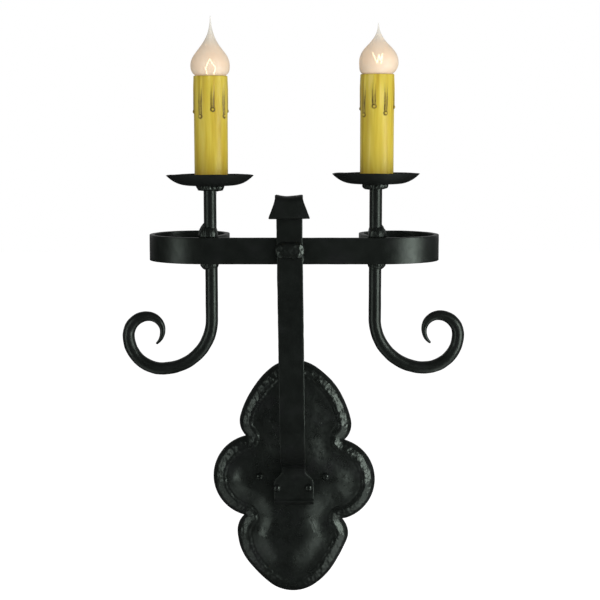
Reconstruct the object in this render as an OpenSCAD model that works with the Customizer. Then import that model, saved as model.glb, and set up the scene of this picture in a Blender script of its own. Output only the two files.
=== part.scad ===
// Two-light wall sconce in forged iron, with candle-style lamps.
// Millimetres. +Z is up, the front faces -Y and the wall is the plane y = 0.
// The origin is the middle of the mounting crossbar, on the wall.

/* [Back plate] */
// Distance of each side lobe's centre from the middle
side_lobe_x = 41.5; // [38:0.5:45]
// Radius of the side lobes
side_lobe_r = 44.8; // [42:0.2:47]
// Distance of the shoulder arcs from the middle, sideways
shoulder_x = 36.5; // [34:0.5:39]
// Distance of the shoulder arcs from the middle, up and down
shoulder_z = 60; // [57:0.5:63]
// Radius of the shoulder arcs
shoulder_r = 23; // [21:0.5:25]
// Distance of the tip arcs from the middle
tip_z = 86.5; // [81:0.5:92]
// Radius of the tip arcs
tip_r = 40; // [36:0.5:44]
// Radius of the long flanks between shoulder and tip
flank_r = 95; // [88:1:110]
// Thickness of the plate's sheet
plate_sheet = 2; // [1.5:0.1:2.6]
// Height of the raised field's face above the wall
field_h = 16; // [14:0.5:20]
// Height of the hammered ridge inside the edge
ridge_h = 11; // [9:0.5:12.5]
// Depth of the valley between ridge and field, below the ridge
valley_drop = 2.5; // [1:0.25:4]
// Distance from the edge to the top of the ridge
ridge_in = 7; // [6:0.25:8.5]
// Distance from the edge to the start of the flat field
field_in = 31; // [29:0.5:33]
// Angle that the plate hangs askew, its top to the right
plate_turn = 1.4; // [0:0.1:2.4]
// How far the plate's middle lies below the crossbar's
plate_drop = 3.6; // [0:0.2:5]
// How far the plate's middle lies to the right of the crossbar's
plate_aside = 1.6; // [0:0.2:3]

/* [Mounting] */
// Distance between the canopy screws
canopy_screw_spacing = 69.85; // [66:0.05:74]
// Diameter of the canopy screws
canopy_screw_d = 4; // [3.5:0.1:4.4]
// Distance between the slots for the box screws
box_screw_spacing = 88.9; // [86:0.1:92]
// Width of the slots for the box screws
box_slot_w = 4.8; // [4.4:0.1:5.2]
// End-to-end length of the slots
box_slot_len = 12; // [9:0.5:13]
// Length of the crossbar
crossbar_len = 112; // [108:1:116]
// Width of the crossbar
crossbar_w = 19; // [16:0.5:24]
// Thickness of the crossbar
crossbar_t = 2.5; // [2:0.1:3.2]
// Diameter of the crossbar's centre hole
centre_hole_d = 10.4; // [10:0.1:11]
// Distance of the ground screw from the middle
ground_screw_x = 20; // [15:0.5:24]
// Diameter of the ground screw
ground_screw_d = 4.6; // [4:0.1:5]
// Height of the wire bushing above the middle
bushing_z = 42; // [36:0.5:50]
// Bore of the wire bushing
bushing_bore_d = 8.4; // [7:0.2:10]

/* [Stem] */
// Width of the flat stem
stem_w = 25; // [22:0.5:28]
// Thickness of the flat stem
stem_t = 6; // [5:0.25:7]
// Distance from the wall to the front face of the stem
stem_reach = 115; // [108:1:125]
// Angle that the stem sweeps back towards the wall
sweep_angle = 75; // [65:1:82]
// Radius of the upper bend, along the middle of the bar
upper_bend_r = 50; // [42:1:56]
// Radius of the lower bend, along the middle of the bar
lower_bend_r = 24; // [18:1:28]
// Height of the top of the flat foot
foot_top_z = -1.7; // [-3:0.1:2]
// Length of the flat foot below the bend
foot_len = 18.3; // [17:0.5:22]
// Width of the spread foot
foot_w = 42; // [41:0.5:46]
// Angle of the curled lip below the foot
lip_angle = 60; // [40:1:80]
// Radius of the curled lip
lip_r = 8; // [6:0.5:10]
// Distance between the two foot rivets
foot_rivet_spacing = 33.4; // [31:0.1:33.4]
// Diameter of the rivets' shanks
rivet_d = 4.8; // [4:0.1:5]
// Diameter of the rivets' domed heads
rivet_head_d = 8.4; // [7.4:0.1:8.6]
// Height of the stem's folded top above the middle
stem_top_z = 303.5; // [290:0.5:315]
// Angle that the stem leans to the left
stem_lean = 0.75; // [0:0.05:1.2]
// Radius of the fold at the top, along the middle of the bar
fold_r = 5.5; // [4.5:0.25:7]
// Angle of the fold
fold_angle = 168; // [160:1:172]
// Length of the folded flap below the fold
flap_len = 15.5; // [12:0.5:18]
// Width of the flap at its lower edge
flap_w = 40; // [36:0.5:44]
// Width of the stem at the fold
fold_w = 23; // [21:0.5:24.5]
// Depth of the hollow worn into the fold's top
fold_dip = 1.2; // [0.6:0.1:1.6]

/* [Ring band] */
// Height of the middle of the ring band
band_z = 249; // [240:1:258]
// Height of the flat bar of the ring band
band_h = 25.4; // [22:0.2:30]
// Thickness of the flat bar of the ring band
band_t = 4.8; // [4:0.2:6]
// Radius of the eyes at the two ends of the band
eye_r = 44; // [41:0.5:47]
// Radius of the tighter bend inside each eye
eye_inner_r = 30.5; // [27:0.5:32.5]
// Radius of the gentle return to the lamp stem
eye_return_r = 76; // [68:1:84]
// Width of the forged collar where stem and band cross
collar_w = 28; // [27:0.25:30]
// Height of the collar
collar_h = 11.5; // [9:0.5:14]
// How far the collar stands in front of the stem
collar_proud = 4; // [3:0.25:5]
// How far the collar's middle lies above the band's
collar_raise = 1.5; // [0:0.25:4]

/* [Lamp stems] */
// Distance between the two candles, centre to centre
lamp_spacing = 160; // [154:1:168]
// How far the middle between the candles lies to the right of the stem's foot
lamps_aside = 2; // [0:0.25:4]
// Diameter of the scroll's round bar
rod_d = 12; // [10:0.5:13]
// Length of the straight rod below the band
rod_drop = 56.5; // [45:0.5:65]
// How far the rod stands up above the band
rod_above = 4.3; // [3:0.1:5]
// Radii of the scroll's arcs, from the rod to the tip
scroll_r1 = 49; // [46:0.5:52]
// Second arc of the scroll
scroll_r2 = 33; // [30:0.5:35]
// Third arc of the scroll
scroll_r3 = 19; // [17.5:0.5:20.5]
// Fourth arc of the scroll
scroll_r4 = 14.5; // [14:0.25:16]
// Last arc of the scroll
scroll_r5 = 16; // [15:0.5:18]
// Angle of the scroll's last arc
scroll_end_angle = 55; // [40:1:60]
// Diameter of the scroll's pointed tip
scroll_tip_d = 2.2; // [1.6:0.1:3]
// Outer diameter of the lamp tube
tube_d = 12.4; // [12:0.1:13]
// Bore of the lamp tube
tube_bore_d = 8.4; // [7:0.1:8.8]
// Length of the left lamp's tube
tube_len = 45.5; // [40:0.5:56]
// How much longer the right lamp's tube is
right_tube_extra = 1.6; // [0:0.2:3]
// Diameter of the wire hole in the back of the tube
wire_hole_d = 6; // [4:0.5:6.5]
// Largest diameter of the weld beads on the tube
bead_d = 19; // [17:0.5:20]
// Diameter of the weld under the pan
pan_bead_d = 24.5; // [21:0.5:27]
// Height of the weld under the pan
pan_bead_h = 5; // [3.5:0.25:6]
// How far the upper welds reach above the rod
bead_up = 4; // [2:0.5:6]
// How far the lower welds reach below the band
bead_down = 6.5; // [5:0.5:8]

/* [Drip pans] */
// Diameter over the pan's rim
pan_d = 84.8; // [78:0.2:90]
// Diameter of the pan's flat floor
pan_floor_d = 46; // [40:0.5:52]
// Height of the rim above the underside
pan_h = 9.6; // [8:0.1:11.5]
// Thickness of the pan's sheet
pan_sheet = 1.2; // [1:0.1:1.6]

/* [Candles] */
// Outside diameter of the candle sleeve
sleeve_d = 32.4; // [32:0.1:34]
// Wall of the candle sleeve
sleeve_wall = 1.2; // [0.8:0.1:1.3]
// Height of the candle sleeve
sleeve_h = 103.4; // [98:0.2:108]
// Number of wax drips round the sleeve
drip_count = 8; // [5:1:10]
// Length of the longer drips
drip_len = 38; // [30:0.5:44]
// How much shorter every other drip is
drip_step = 6; // [2:0.5:9]
// Angle of the first drip on the left candle, from the side away from the stem
left_drip_turn = -55.6; // [-80:0.2:-30]
// Angle of the first drip on the right candle, from the side away from the stem
right_drip_turn = -58.7; // [-80:0.2:-30]
// Radius of a drip's run
drip_r = 0.8; // [0.5:0.1:1]
// Radius of the bead that ends a drip
drip_bead_r = 1.5; // [1.2:0.1:1.8]

/* [Lampholders] */
// Outside diameter of the threaded nipple
nipple_d = 9.8; // [9.4:0.1:10]
// Bore of the nipple
nipple_bore_d = 6.2; // [5:0.1:6.8]
// Length of the nipple inside the tube
nipple_down = 8.8; // [6:0.1:12]
// Length of the nipple above the pan's floor
nipple_up = 8; // [6.5:0.1:9]
// Height of the locknut
locknut_h = 3.2; // [2.4:0.1:4]
// Width of the locknut across its flats
locknut_af = 14.3; // [13:0.1:15.5]
// Height of the bracket's threaded hub
hub_h = 7; // [6:0.1:9]
// Diameter of the bracket's hub
hub_d = 14; // [13:0.1:16]
// Width of the bracket's strap
strap_w = 9; // [7:0.2:10]
// Thickness of the bracket's strap
strap_t = 1; // [0.8:0.1:1.4]
// Height of the socket's base above the pan's floor
socket_z = 48; // [44:0.5:51]
// Height of the socket's insulating base
socket_base_h = 12; // [10:0.5:14]
// Thickness of the flange that carries the insulating tube
socket_flange_h = 3; // [2:0.1:4]
// Height of the brass screw shell
shell_h = 30; // [28:0.5:32]
// Inside diameter of the brass screw shell
shell_bore_d = 26.5; // [26.4:0.1:26.6]
// Sheet of the brass screw shell
shell_sheet = 0.35; // [0.3:0.05:0.4]
// Wall of the insulating tube
liner_wall = 0.5; // [0.4:0.05:0.6]
// Height of the centre contact above the base
contact_h = 3.2; // [2.6:0.1:4]

/* [Bulbs] */
// Diameter of the bulb's screw cap
cap_d = 25.8; // [25.4:0.1:25.8]
// Height of the screw cap
cap_h = 23; // [20:0.5:25]
// Height of the cap's insulating button and contact
button_h = 3.5; // [3:0.1:4.5]
// Diameter of the bulb's globe
globe_d = 37.6; // [35:0.2:40]
// Wall of the bulb
bulb_wall = 0.9; // [0.6:0.1:1.2]
// Height of the left globe's centre above its sleeve
left_globe_z = 9.5; // [8:0.5:16]
// Height of the left bulb's drawn tip above its globe
left_tip_h = 47; // [34:0.5:54]
// Height of the right globe's centre above its sleeve
right_globe_z = 11.5; // [8:0.5:16]
// Height of the right bulb's drawn tip above its globe
right_tip_h = 37; // [30:0.5:54]
// Height of the left filament's middle above its sleeve
left_filament_z = 8.5; // [7:0.5:14]
// Height of the right filament's middle above its sleeve
right_filament_z = 14; // [8:0.5:16]

/* [Hidden] */

LEFT = -1;
RIGHT = 1;

// Clearances: a screw in its hole, a part on the same body, a part that lifts out
fit_clear = 0.05;
seat_clear = 0.05;
lift_clear = 0.3;
// A cut runs this far past the faces that it opens
past = 1;
// The band's front runs this far into its eyes, so that they are one piece
weld_in = 0.0005;

iron = [0.09, 0.1, 0.1];
zinc = [0.72, 0.73, 0.75];
brass_tint = [0.78, 0.6, 0.25];
phenolic = [0.12, 0.09, 0.07];
fibre = [0.86, 0.82, 0.72];
wax = [0.75, 0.66, 0.24];
frosted = [0.97, 0.86, 0.7, 0.6];

// Curves

function bezier2(a, b, c, n) = [for (i = [0 : n]) let (t = i / n)
    (1 - t) * (1 - t) * a + 2 * t * (1 - t) * b + t * t * c];

function bezier3(a, b, c, d, n) = [for (i = [0 : n]) let (t = i / n, s = 1 - t)
    s * s * s * a + 3 * s * s * t * b + 3 * s * t * t * c + t * t * t * d];

function arc(centre, r, from, to, n) = [for (i = [0 : n]) let (a = from + (to - from) * i / n)
    centre + r * [cos(a), sin(a)]];

function reversed(list) = [for (i = [len(list) - 1 : -1 : 0]) list[i]];

function without_last(list) = [for (i = [0 : len(list) - 2]) list[i]];

function angle_of(v) = atan2(v[1], v[0]);

// The crossing of two circles that lies to the right of the line from a to b
function circles_meet(a, ra, b, rb) =
    let (d = norm(b - a), u = (b - a) / d)
    let (along = (ra * ra - rb * rb + d * d) / (2 * d))
    let (off = sqrt(ra * ra - along * along))
    a + along * u + off * [u[1], -u[0]];

// A solid through a stack of rings that have as many points each, closed by two end faces
module ring_stack(rings) {
    n = len(rings[0]);
    m = len(rings);
    walls = [for (k = [0 : m - 2], i = [0 : n - 1]) let (j = (i + 1) % n)
        for (face = [[k * n + i, k * n + j, (k + 1) * n + j],
                     [k * n + i, (k + 1) * n + j, (k + 1) * n + i]]) face];
    first = [for (i = [n - 1 : -1 : 0]) i];
    last = [for (i = [0 : n - 1]) (m - 1) * n + i];
    polyhedron([for (ring = rings) each ring], concat([first, last], walls));
}

// A solid through rings that close on themselves, like a tyre
module ring_loop(rings) {
    n = len(rings[0]);
    m = len(rings);
    walls = [for (k = [0 : m - 1], i = [0 : n - 1]) let (j = (i + 1) % n, l = (k + 1) % m)
        for (face = [[k * n + i, k * n + j, l * n + j],
                     [k * n + i, l * n + j, l * n + i]]) face];
    polyhedron([for (ring = rings) each ring], walls);
}

module rod_between(a, b, r) {
    d = b - a;
    translate(a)
        rotate([0, acos(d[2] / norm(d)), atan2(d[1], d[0])])
            cylinder(h = norm(d), r = r);
}

// A pin, bore or screw along +Y, from y = from to y = to
module along_y(from, to, r) {
    translate([0, from, 0])
        rotate([-90, 0, 0])
            cylinder(h = to - from, r = r);
}

// Back plate: four lobes of sheet, hammered up from the back

side_c = [side_lobe_x, 0];
shoulder_c = [shoulder_x, shoulder_z];
tip_c = [0, tip_z];
notch = circles_meet(side_c, side_lobe_r, shoulder_c, shoulder_r);
flank_c = circles_meet(tip_c, flank_r - tip_r, shoulder_c, flank_r - shoulder_r);
side_end = angle_of(notch - side_c);
shoulder_start = angle_of(notch - shoulder_c);
flank_start = angle_of(shoulder_c - flank_c);
flank_end = angle_of(tip_c - flank_c);

// One quarter of the outline, from the side lobe's end up to the tip
quarter = concat(
    without_last(arc(side_c, side_lobe_r, 0, side_end, 8)),
    without_last(arc(shoulder_c, shoulder_r, shoulder_start, flank_start, 5)),
    without_last(arc(flank_c, flank_r, flank_start, flank_end, 6)),
    arc(tip_c, tip_r, flank_end, 90, 3));

function flipped(list, sx, sz) = [for (p = list) [sx * p[0], sz * p[1]]];

plate_outline = concat(
    without_last(quarter),
    without_last(reversed(flipped(quarter, -1, 1))),
    without_last(flipped(quarter, -1, -1)),
    without_last(reversed(flipped(quarter, 1, -1))));

function arc_gap(p, centre, r, from, to) =
    let (a = angle_of(p - centre))
    a >= from && a <= to ? abs(r - norm(p - centre)) : 1e6;

// Distance from a point of the plate to the plate's edge
function edge_gap(point) =
    let (p = [abs(point[0]), abs(point[1])])
    min(norm(p - notch),
        arc_gap(p, side_c, side_lobe_r, 0, side_end),
        arc_gap(p, shoulder_c, shoulder_r, shoulder_start, flank_start),
        arc_gap(p, flank_c, flank_r, flank_start, flank_end),
        arc_gap(p, tip_c, tip_r, flank_end, 90));

// The point that lies gap from the edge on the line from p to its aim in the field
function inward(p, gap, low = 0, high = 1, step = 0) =
    let (aim = [p[0] * 0.3, p[1] * 0.45], t = (low + high) / 2, q = p + (aim - p) * t)
    gap <= 0 ? p
    : step == 14 ? q
    : edge_gap(q) < gap ? inward(p, gap, t, high, step + 1) : inward(p, gap, low, t, step + 1);

valley_in = (ridge_in + field_in) / 2 - 3;
valley_h = ridge_h - valley_drop;
rim_flat = plate_sheet + 0.2;

// Sections of the plate's two faces: distance from the edge, height above the wall
front_section = concat(
    [[0, plate_sheet]],
    [[ridge_in * 0.36, ridge_h * 0.62]],
    [[ridge_in, ridge_h]],
    [[(ridge_in + valley_in) / 2, valley_h + valley_drop * 0.45]],
    [for (i = [0 : 5]) let (t = i / 5)
        [valley_in + (field_in - valley_in) * t,
         valley_h + (field_h - valley_h) * (1 - cos(180 * t)) / 2]]);
back_section = concat(
    [[0, 0]],
    [[rim_flat, 0]],
    [[ridge_in * 0.36 + plate_sheet * 0.9, ridge_h * 0.62 - plate_sheet * 0.8]],
    [for (i = [2 : len(front_section) - 1]) front_section[i] - [0, plate_sheet]]);

module plate_shell() {
    section = concat(reversed(front_section), back_section);
    rings = [for (s = section) [for (p = plate_outline) let (q = inward(p, s[0])) [q[0], -s[1], q[1]]]];
    ring_stack(rings);
}

module back_plate() {
    color(iron)
        difference() {
            translate([plate_aside, 0, -plate_drop])
                rotate([0, plate_turn, 0])
                    plate_shell();
            for (side = [LEFT, RIGHT]) {
                translate([side * canopy_screw_spacing / 2, 0, 0])
                    along_y(-field_h - past, -field_h + plate_sheet + past, canopy_screw_d / 2 + lift_clear);
                leaning()
                    translate([side * foot_rivet_spacing / 2, 0, foot_rivet_z])
                        along_y(-field_h - past, -field_h + plate_sheet + past, rivet_d / 2 + fit_clear);
            }
            translate([0, 0, bushing_z])
                along_y(-field_h - past, -field_h + plate_sheet + past, bushing_body_d / 2 + fit_clear);
        }
}

// Mounting

bushing_body_d = bushing_bore_d + 3.6;
bushing_flange_d = bushing_body_d + 4;
bushing_flange_t = 1.5;

module slot(length, width) {
    run = (length - width) / 2;
    translate([-run, -crossbar_t - past, -width / 2])
        cube([2 * run, crossbar_t + 2 * past, width]);
    for (end = [-run, run])
        translate([end, 0, 0])
            along_y(-crossbar_t - past, past, width / 2);
}

module crossbar() {
    color(zinc)
        difference() {
            translate([-crossbar_len / 2, -crossbar_t, -crossbar_w / 2])
                cube([crossbar_len, crossbar_t, crossbar_w]);
            for (side = [LEFT, RIGHT]) {
                translate([side * box_screw_spacing / 2, 0, 0])
                    slot(box_slot_len, box_slot_w);
                translate([side * canopy_screw_spacing / 2, 0, 0])
                    along_y(-crossbar_t - past, past, canopy_screw_d / 2 + fit_clear);
            }
            along_y(-crossbar_t - past, past, centre_hole_d / 2);
            translate([ground_screw_x, 0, 0])
                along_y(-crossbar_t - past, past, ground_screw_d / 2 + fit_clear);
        }
}

screw_end = -0.2;
screw_head_h = 2.8;
screw_slot_w = 1;

// A domed head that bulges towards -Y from the plane y = 0
module domed_head(r, h) {
    ball_r = (r * r + h * h) / (2 * h);
    intersection() {
        translate([0, ball_r - h, 0])
            sphere(r = ball_r);
        along_y(-h - past, 0, r);
    }
}

module canopy_screws() {
    head_r = canopy_screw_d * 1.05;
    color(iron)
        for (side = [LEFT, RIGHT])
            translate([side * canopy_screw_spacing / 2, 0, 0]) {
                translate([0, -field_h, 0])
                    difference() {
                        domed_head(head_r, screw_head_h);
                        rotate([0, 20 * side, 0])
                            translate([-head_r - past, -screw_head_h - past, -screw_slot_w / 2])
                                cube([2 * (head_r + past), past + screw_slot_w, screw_slot_w]);
                    }
                along_y(-field_h, screw_end, canopy_screw_d / 2);
            }
}

module ground_screw() {
    head_t = 2.5;
    color([0.2, 0.55, 0.3])
        translate([ground_screw_x, 0, 0]) {
            along_y(-crossbar_t, screw_end, ground_screw_d / 2);
            translate([0, -crossbar_t - head_t, 0])
                rotate([-90, 0, 0])
                    difference() {
                        cylinder(h = head_t, d = ground_screw_d * 1.9, $fn = 6);
                        translate([-ground_screw_d, -screw_slot_w / 2, -past])
                            cube([2 * ground_screw_d, screw_slot_w, past + screw_slot_w]);
                    }
        }
}

module wire_bushing() {
    lip_d = bushing_body_d + 1.6;
    bore_r = bushing_bore_d / 2;
    body_r = bushing_body_d / 2;
    flange_r = bushing_flange_d / 2;
    back = plate_sheet + seat_clear;
    color([0.08, 0.08, 0.08])
        translate([0, -field_h, bushing_z])
            rotate([-90, 0, 0])
                rotate_extrude()
                    polygon([
                        [bore_r, -bushing_flange_t], [flange_r - 0.5, -bushing_flange_t],
                        [flange_r, -bushing_flange_t + 0.5], [flange_r, 0], [body_r, 0], [body_r, back],
                        [lip_d / 2, back + 0.8], [body_r, back + 3], [bore_r, back + 3]]);
}

// Stem: one flat bar, spread at both ends

stem_mid_y = -(stem_reach - stem_t / 2);
foot_mid_y = -(field_h + stem_t / 2);
bends_r = upper_bend_r + lower_bend_r;
leg_len = (foot_mid_y - stem_mid_y - bends_r * (1 - cos(sweep_angle))) / sin(sweep_angle);
sweep_drop = bends_r * sin(sweep_angle) + leg_len * cos(sweep_angle);
knee_z = foot_top_z + sweep_drop;
fold_z = stem_top_z - fold_r - stem_t / 2;
foot_rivet_z = foot_top_z - foot_len / 2;
flare_top_z = foot_top_z + 10;
flare_end_z = foot_top_z - 3;

// What is fixed to the stem leans with it, about the top of its foot
module leaning() {
    translate([0, 0, foot_top_z])
        rotate([0, -stem_lean, 0])
            translate([0, 0, -foot_top_z])
                children();
}

// The points along the middle of a bent bar, seen from the side, each with its heading.
// Each step is a length, then a bend of a radius and an angle, positive to the left.
function bar_line(steps, start, heading, i = 0) =
    i == len(steps) ? [[start, heading]]
    : let (r = steps[i][1], turn = steps[i][2], dir = sign(turn), cuts = ceil(abs(turn) / 7))
      let (bend = start + steps[i][0] * [cos(heading), sin(heading)])
      let (centre = bend + dir * r * [-sin(heading), cos(heading)])
      let (along = [for (k = [0 : cuts]) let (h = heading + turn * k / max(cuts, 1))
          [dir == 0 ? bend : centre + dir * r * [sin(h), -cos(h)], h]])
      concat(steps[i][0] > 0 ? [[start, heading]] : [], without_last(along),
          bar_line(steps, along[len(along) - 1][0], heading + turn, i + 1));

function beside(line, gap) = [for (s = line) s[0] + gap * [-sin(s[1]), cos(s[1])]];

// A flat bar of width w and thickness t along such a line
module bent_bar(line, w, t) {
    rotate([90, 0, 90])
        translate([0, 0, -w / 2])
            linear_extrude(height = w)
                polygon(concat(beside(line, t / 2), reversed(beside(line, -t / 2))));
}

// An outline drawn as seen from the front, run through the whole depth of the sconce
module seen_from_front(points) {
    translate([0, past, 0])
        rotate([90, 0, 0])
            linear_extrude(height = stem_reach + 40)
                polygon(points);
}

function flare_side() = [for (i = [0 : 8]) let (t = i / 8)
    [stem_w / 2 + (foot_w - stem_w) / 2 * (1 - cos(180 * t)) / 2,
     flare_top_z + (flare_end_z - flare_top_z) * t]];

foot_side = concat([[stem_w / 2, fold_z + past]], flare_side(), [[foot_w / 2, foot_top_z - 2 * foot_len]]);

fold_arc_r = (fold_w * fold_w / 4 + fold_dip * fold_dip) / (2 * fold_dip);
fold_arc_a = asin(fold_w / 2 / fold_arc_r);
flap_low_z = fold_z - flap_len - stem_t;
flap_edge = (flap_w - fold_w) / 2 / (fold_z - flap_len - stem_top_z);

module stem_bar() {
    color(iron)
        leaning() difference() {
            union() {
                intersection() {
                    bent_bar(bar_line([
                        [fold_z - knee_z, upper_bend_r, sweep_angle],
                        [leg_len, lower_bend_r, -sweep_angle],
                        [foot_len, lip_r, -lip_angle]], [stem_mid_y, fold_z], -90), foot_w, stem_t);
                    seen_from_front(concat(foot_side, reversed(flipped(foot_side, -1, 1))));
                }
                intersection() {
                    bent_bar(bar_line([
                        [0, fold_r, fold_angle],
                        [flap_len, 0, 0]], [stem_mid_y, fold_z], 90), flap_w + 4, stem_t);
                    seen_from_front(concat(
                        arc([0, stem_top_z + fold_arc_r - fold_dip], fold_arc_r,
                            -90 - fold_arc_a, -90 + fold_arc_a, 8),
                        [[fold_w / 2 + flap_edge * (flap_low_z - stem_top_z), flap_low_z],
                         [-fold_w / 2 - flap_edge * (flap_low_z - stem_top_z), flap_low_z]]));
                }
            }
            for (side = [LEFT, RIGHT])
                translate([side * foot_rivet_spacing / 2, 0, foot_rivet_z])
                    along_y(-field_h - stem_t - past, -field_h + past, rivet_d / 2 + fit_clear);
        }
}

module foot_rivets() {
    head_h = rivet_head_d * 0.31;
    tail_h = rivet_head_d * 0.2;
    color(iron)
        leaning() for (side = [LEFT, RIGHT])
            translate([side * foot_rivet_spacing / 2, 0, foot_rivet_z]) {
                translate([0, -field_h - stem_t, 0])
                    domed_head(rivet_head_d / 2, head_h);
                along_y(-field_h - stem_t, -field_h + plate_sheet, rivet_d / 2);
                translate([0, -field_h + plate_sheet, 0])
                    mirror([0, 1, 0])
                        domed_head(rivet_head_d * 0.45, tail_h);
            }
}

// Ring band: one flat bar whose ends roll back into eyes round the lamp stems

band_mid_y = -(stem_reach - stem_t - band_t / 2);
band_low_z = band_z - band_h / 2;
band_high_z = band_z + band_h / 2;
lamp_x = lamp_spacing / 2;
lamp_y = band_mid_y + band_t / 2 + rod_d / 2 + seat_clear;
eye_depth = 2 * eye_r - eye_inner_r;
rod_back = lamp_y - band_mid_y + rod_d / 2 + seat_clear;
return_angle = asin((eye_depth - rod_back) / (eye_return_r + band_t / 2));
eye_x = lamp_x - eye_return_r * (1 - cos(return_angle)) + eye_inner_r;

// A length of flat bar on edge, bent round a centre in the XY plane
module band_bend(centre, r, from, sweep) {
    translate([centre[0], centre[1], band_z])
        rotate([0, 0, from])
            rotate_extrude(angle = sweep)
                translate([r - band_t / 2, -band_h / 2])
                    square([band_t, band_h]);
}

module eye() {
    lap = 0.01;
    band_bend([eye_x, band_mid_y + eye_r], eye_r, -90, 180 + lap);
    band_bend([eye_x, band_mid_y + eye_depth], eye_inner_r, 90, 90 + lap);
    band_bend([eye_x - eye_inner_r + eye_return_r, band_mid_y + eye_depth], eye_return_r, 180, return_angle);
}

module ring_band() {
    color(iron)
        translate([lamps_aside, 0, 0]) {
            translate([-eye_x - weld_in, band_mid_y - band_t / 2, band_low_z])
                cube([2 * (eye_x + weld_in), band_t, band_h]);
            eye();
            mirror([1, 0, 0])
                eye();
        }
}

// A forged collar that wraps the stem where it crosses the band
module collar() {
    stem_front = -stem_reach;
    stem_back = -stem_reach + stem_t;
    roll_r = (collar_h * collar_h / 4 + collar_proud * collar_proud) / (2 * collar_proud);
    corner = collar_proud;
    middle_z = band_z + collar_raise;
    color(iron)
        leaning() difference() {
            intersection() {
                union() {
                    translate([-collar_w / 2, stem_front, middle_z])
                        translate([0, roll_r - collar_proud, 0])
                            rotate([0, 90, 0])
                                cylinder(h = collar_w, r = roll_r);
                    translate([-collar_w / 2, stem_front, middle_z - collar_h / 2])
                        cube([collar_w, stem_t, collar_h]);
                }
                translate([-collar_w / 2, stem_front - collar_proud, middle_z - collar_h])
                    linear_extrude(height = 2 * collar_h)
                        polygon(concat(
                            arc([corner, corner], corner, 180, 270, 6),
                            arc([collar_w - corner, corner], corner, -90, 0, 6),
                            [[collar_w, collar_proud + stem_t], [0, collar_proud + stem_t]]));
            }
            translate([-stem_w / 2, stem_front, middle_z - 1.5 * collar_h])
                cube([stem_w, stem_t + past, 3 * collar_h]);
        }
}

// Lamp stems

rod_top_z = band_high_z + rod_above;
scroll_start_z = band_low_z - rod_drop;
tube_top_z = rod_top_z + tube_len;
floor_z = tube_top_z + pan_sheet;

module at_lamp(side) {
    translate([lamps_aside + side * lamp_x, lamp_y, 0])
        mirror([side < 0 ? 1 : 0, 0, 0])
            children();
}

// What a lamp's tube carries, at the height of the left one
module on_tube(side) {
    translate([0, 0, tube_extra(side)])
        at_lamp(side)
            children();
}

function tube_extra(side) = side == RIGHT ? right_tube_extra : 0;

scroll_arcs = [
    [scroll_r1, 90], [scroll_r2, 90], [scroll_r3, 90], [scroll_r4, 90], [scroll_r5, scroll_end_angle]];
scroll_turn = 360 + scroll_end_angle;
scroll_step = 9;

// A point of the scroll after a turn, and each arc starts where the one before it ends
function on_arcs(turn, i = 0, start = [0, 0], heading = -90) =
    let (r = scroll_arcs[i][0], sweep = scroll_arcs[i][1])
    let (centre = start + r * [-sin(heading), cos(heading)], here = min(turn, sweep))
    let (end = centre + r * [sin(heading + here), -cos(heading + here)])
    turn <= sweep || i == len(scroll_arcs) - 1 ? end
    : on_arcs(turn - sweep, i + 1, end, heading + sweep);

function scroll_d(turn) = lookup(turn, [
    [0, rod_d], [135, rod_d], [225, rod_d * 0.92], [270, rod_d * 0.8],
    [340, rod_d * 0.53], [scroll_turn, scroll_tip_d]]);

function tube_ring(p, heading, r, sides) = [for (i = [0 : sides - 1]) let (a = 360 * i / sides)
    let (out = r * cos(a))
    [p[0] - sin(heading) * out, r * sin(a), p[1] + cos(heading) * out]];

module scroll(side) {
    sides = 14;
    turns = concat([for (t = [0 : scroll_step : scroll_turn - 1]) t], [scroll_turn]);
    color(iron)
        at_lamp(side)
            translate([0, 0, scroll_start_z]) {
                cylinder(h = rod_top_z - scroll_start_z, d = rod_d);
                ring_stack([for (t = turns)
                    tube_ring(on_arcs(t), t - 90, scroll_d(t) / 2 - (t == 0 ? 0.01 : 0), sides)]);
            }
}

module stem_tube(side) {
    wire_hole_up = bead_up + wire_hole_d;
    length = tube_len + tube_extra(side);
    color(iron)
        at_lamp(side)
            difference() {
                translate([0, 0, rod_top_z])
                    cylinder(h = length, d = tube_d);
                translate([0, 0, rod_top_z - past])
                    cylinder(h = length + 2 * past, d = tube_bore_d);
                translate([0, 0, rod_top_z + length - nipple_down - seat_clear])
                    cylinder(h = nipple_down + past, r = nipple_d / 2 + fit_clear);
                translate([0, 0, rod_top_z + wire_hole_up])
                    along_y(0, tube_d, wire_hole_d / 2);
            }
}

// A lumpy bead of weld round a bar, its wide end at height wide_z and its narrow end at thin_z
module bead(bore_r, wide_r, wide_z, thin_z, lumps, section) {
    sides = 24;
    low = min(wide_z, thin_z);
    tall = abs(wide_z - thin_z);
    flip = wide_z > thin_z;
    ordered = flip ? reversed(section) : section;
    ring_loop([for (i = [0 : sides - 1]) let (a = 360 * i / sides)
        let (lump = 0.86 + 0.14 * sin(a * lumps) + 0.05 * sin(a * 2 + 40))
        [for (s = ordered)
            let (r = bore_r + (wide_r - bore_r) * s[0] * lump)
            [r * cos(a), r * sin(a), low + tall * (flip ? 1 - s[1] : s[1])]]]);
}

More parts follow.
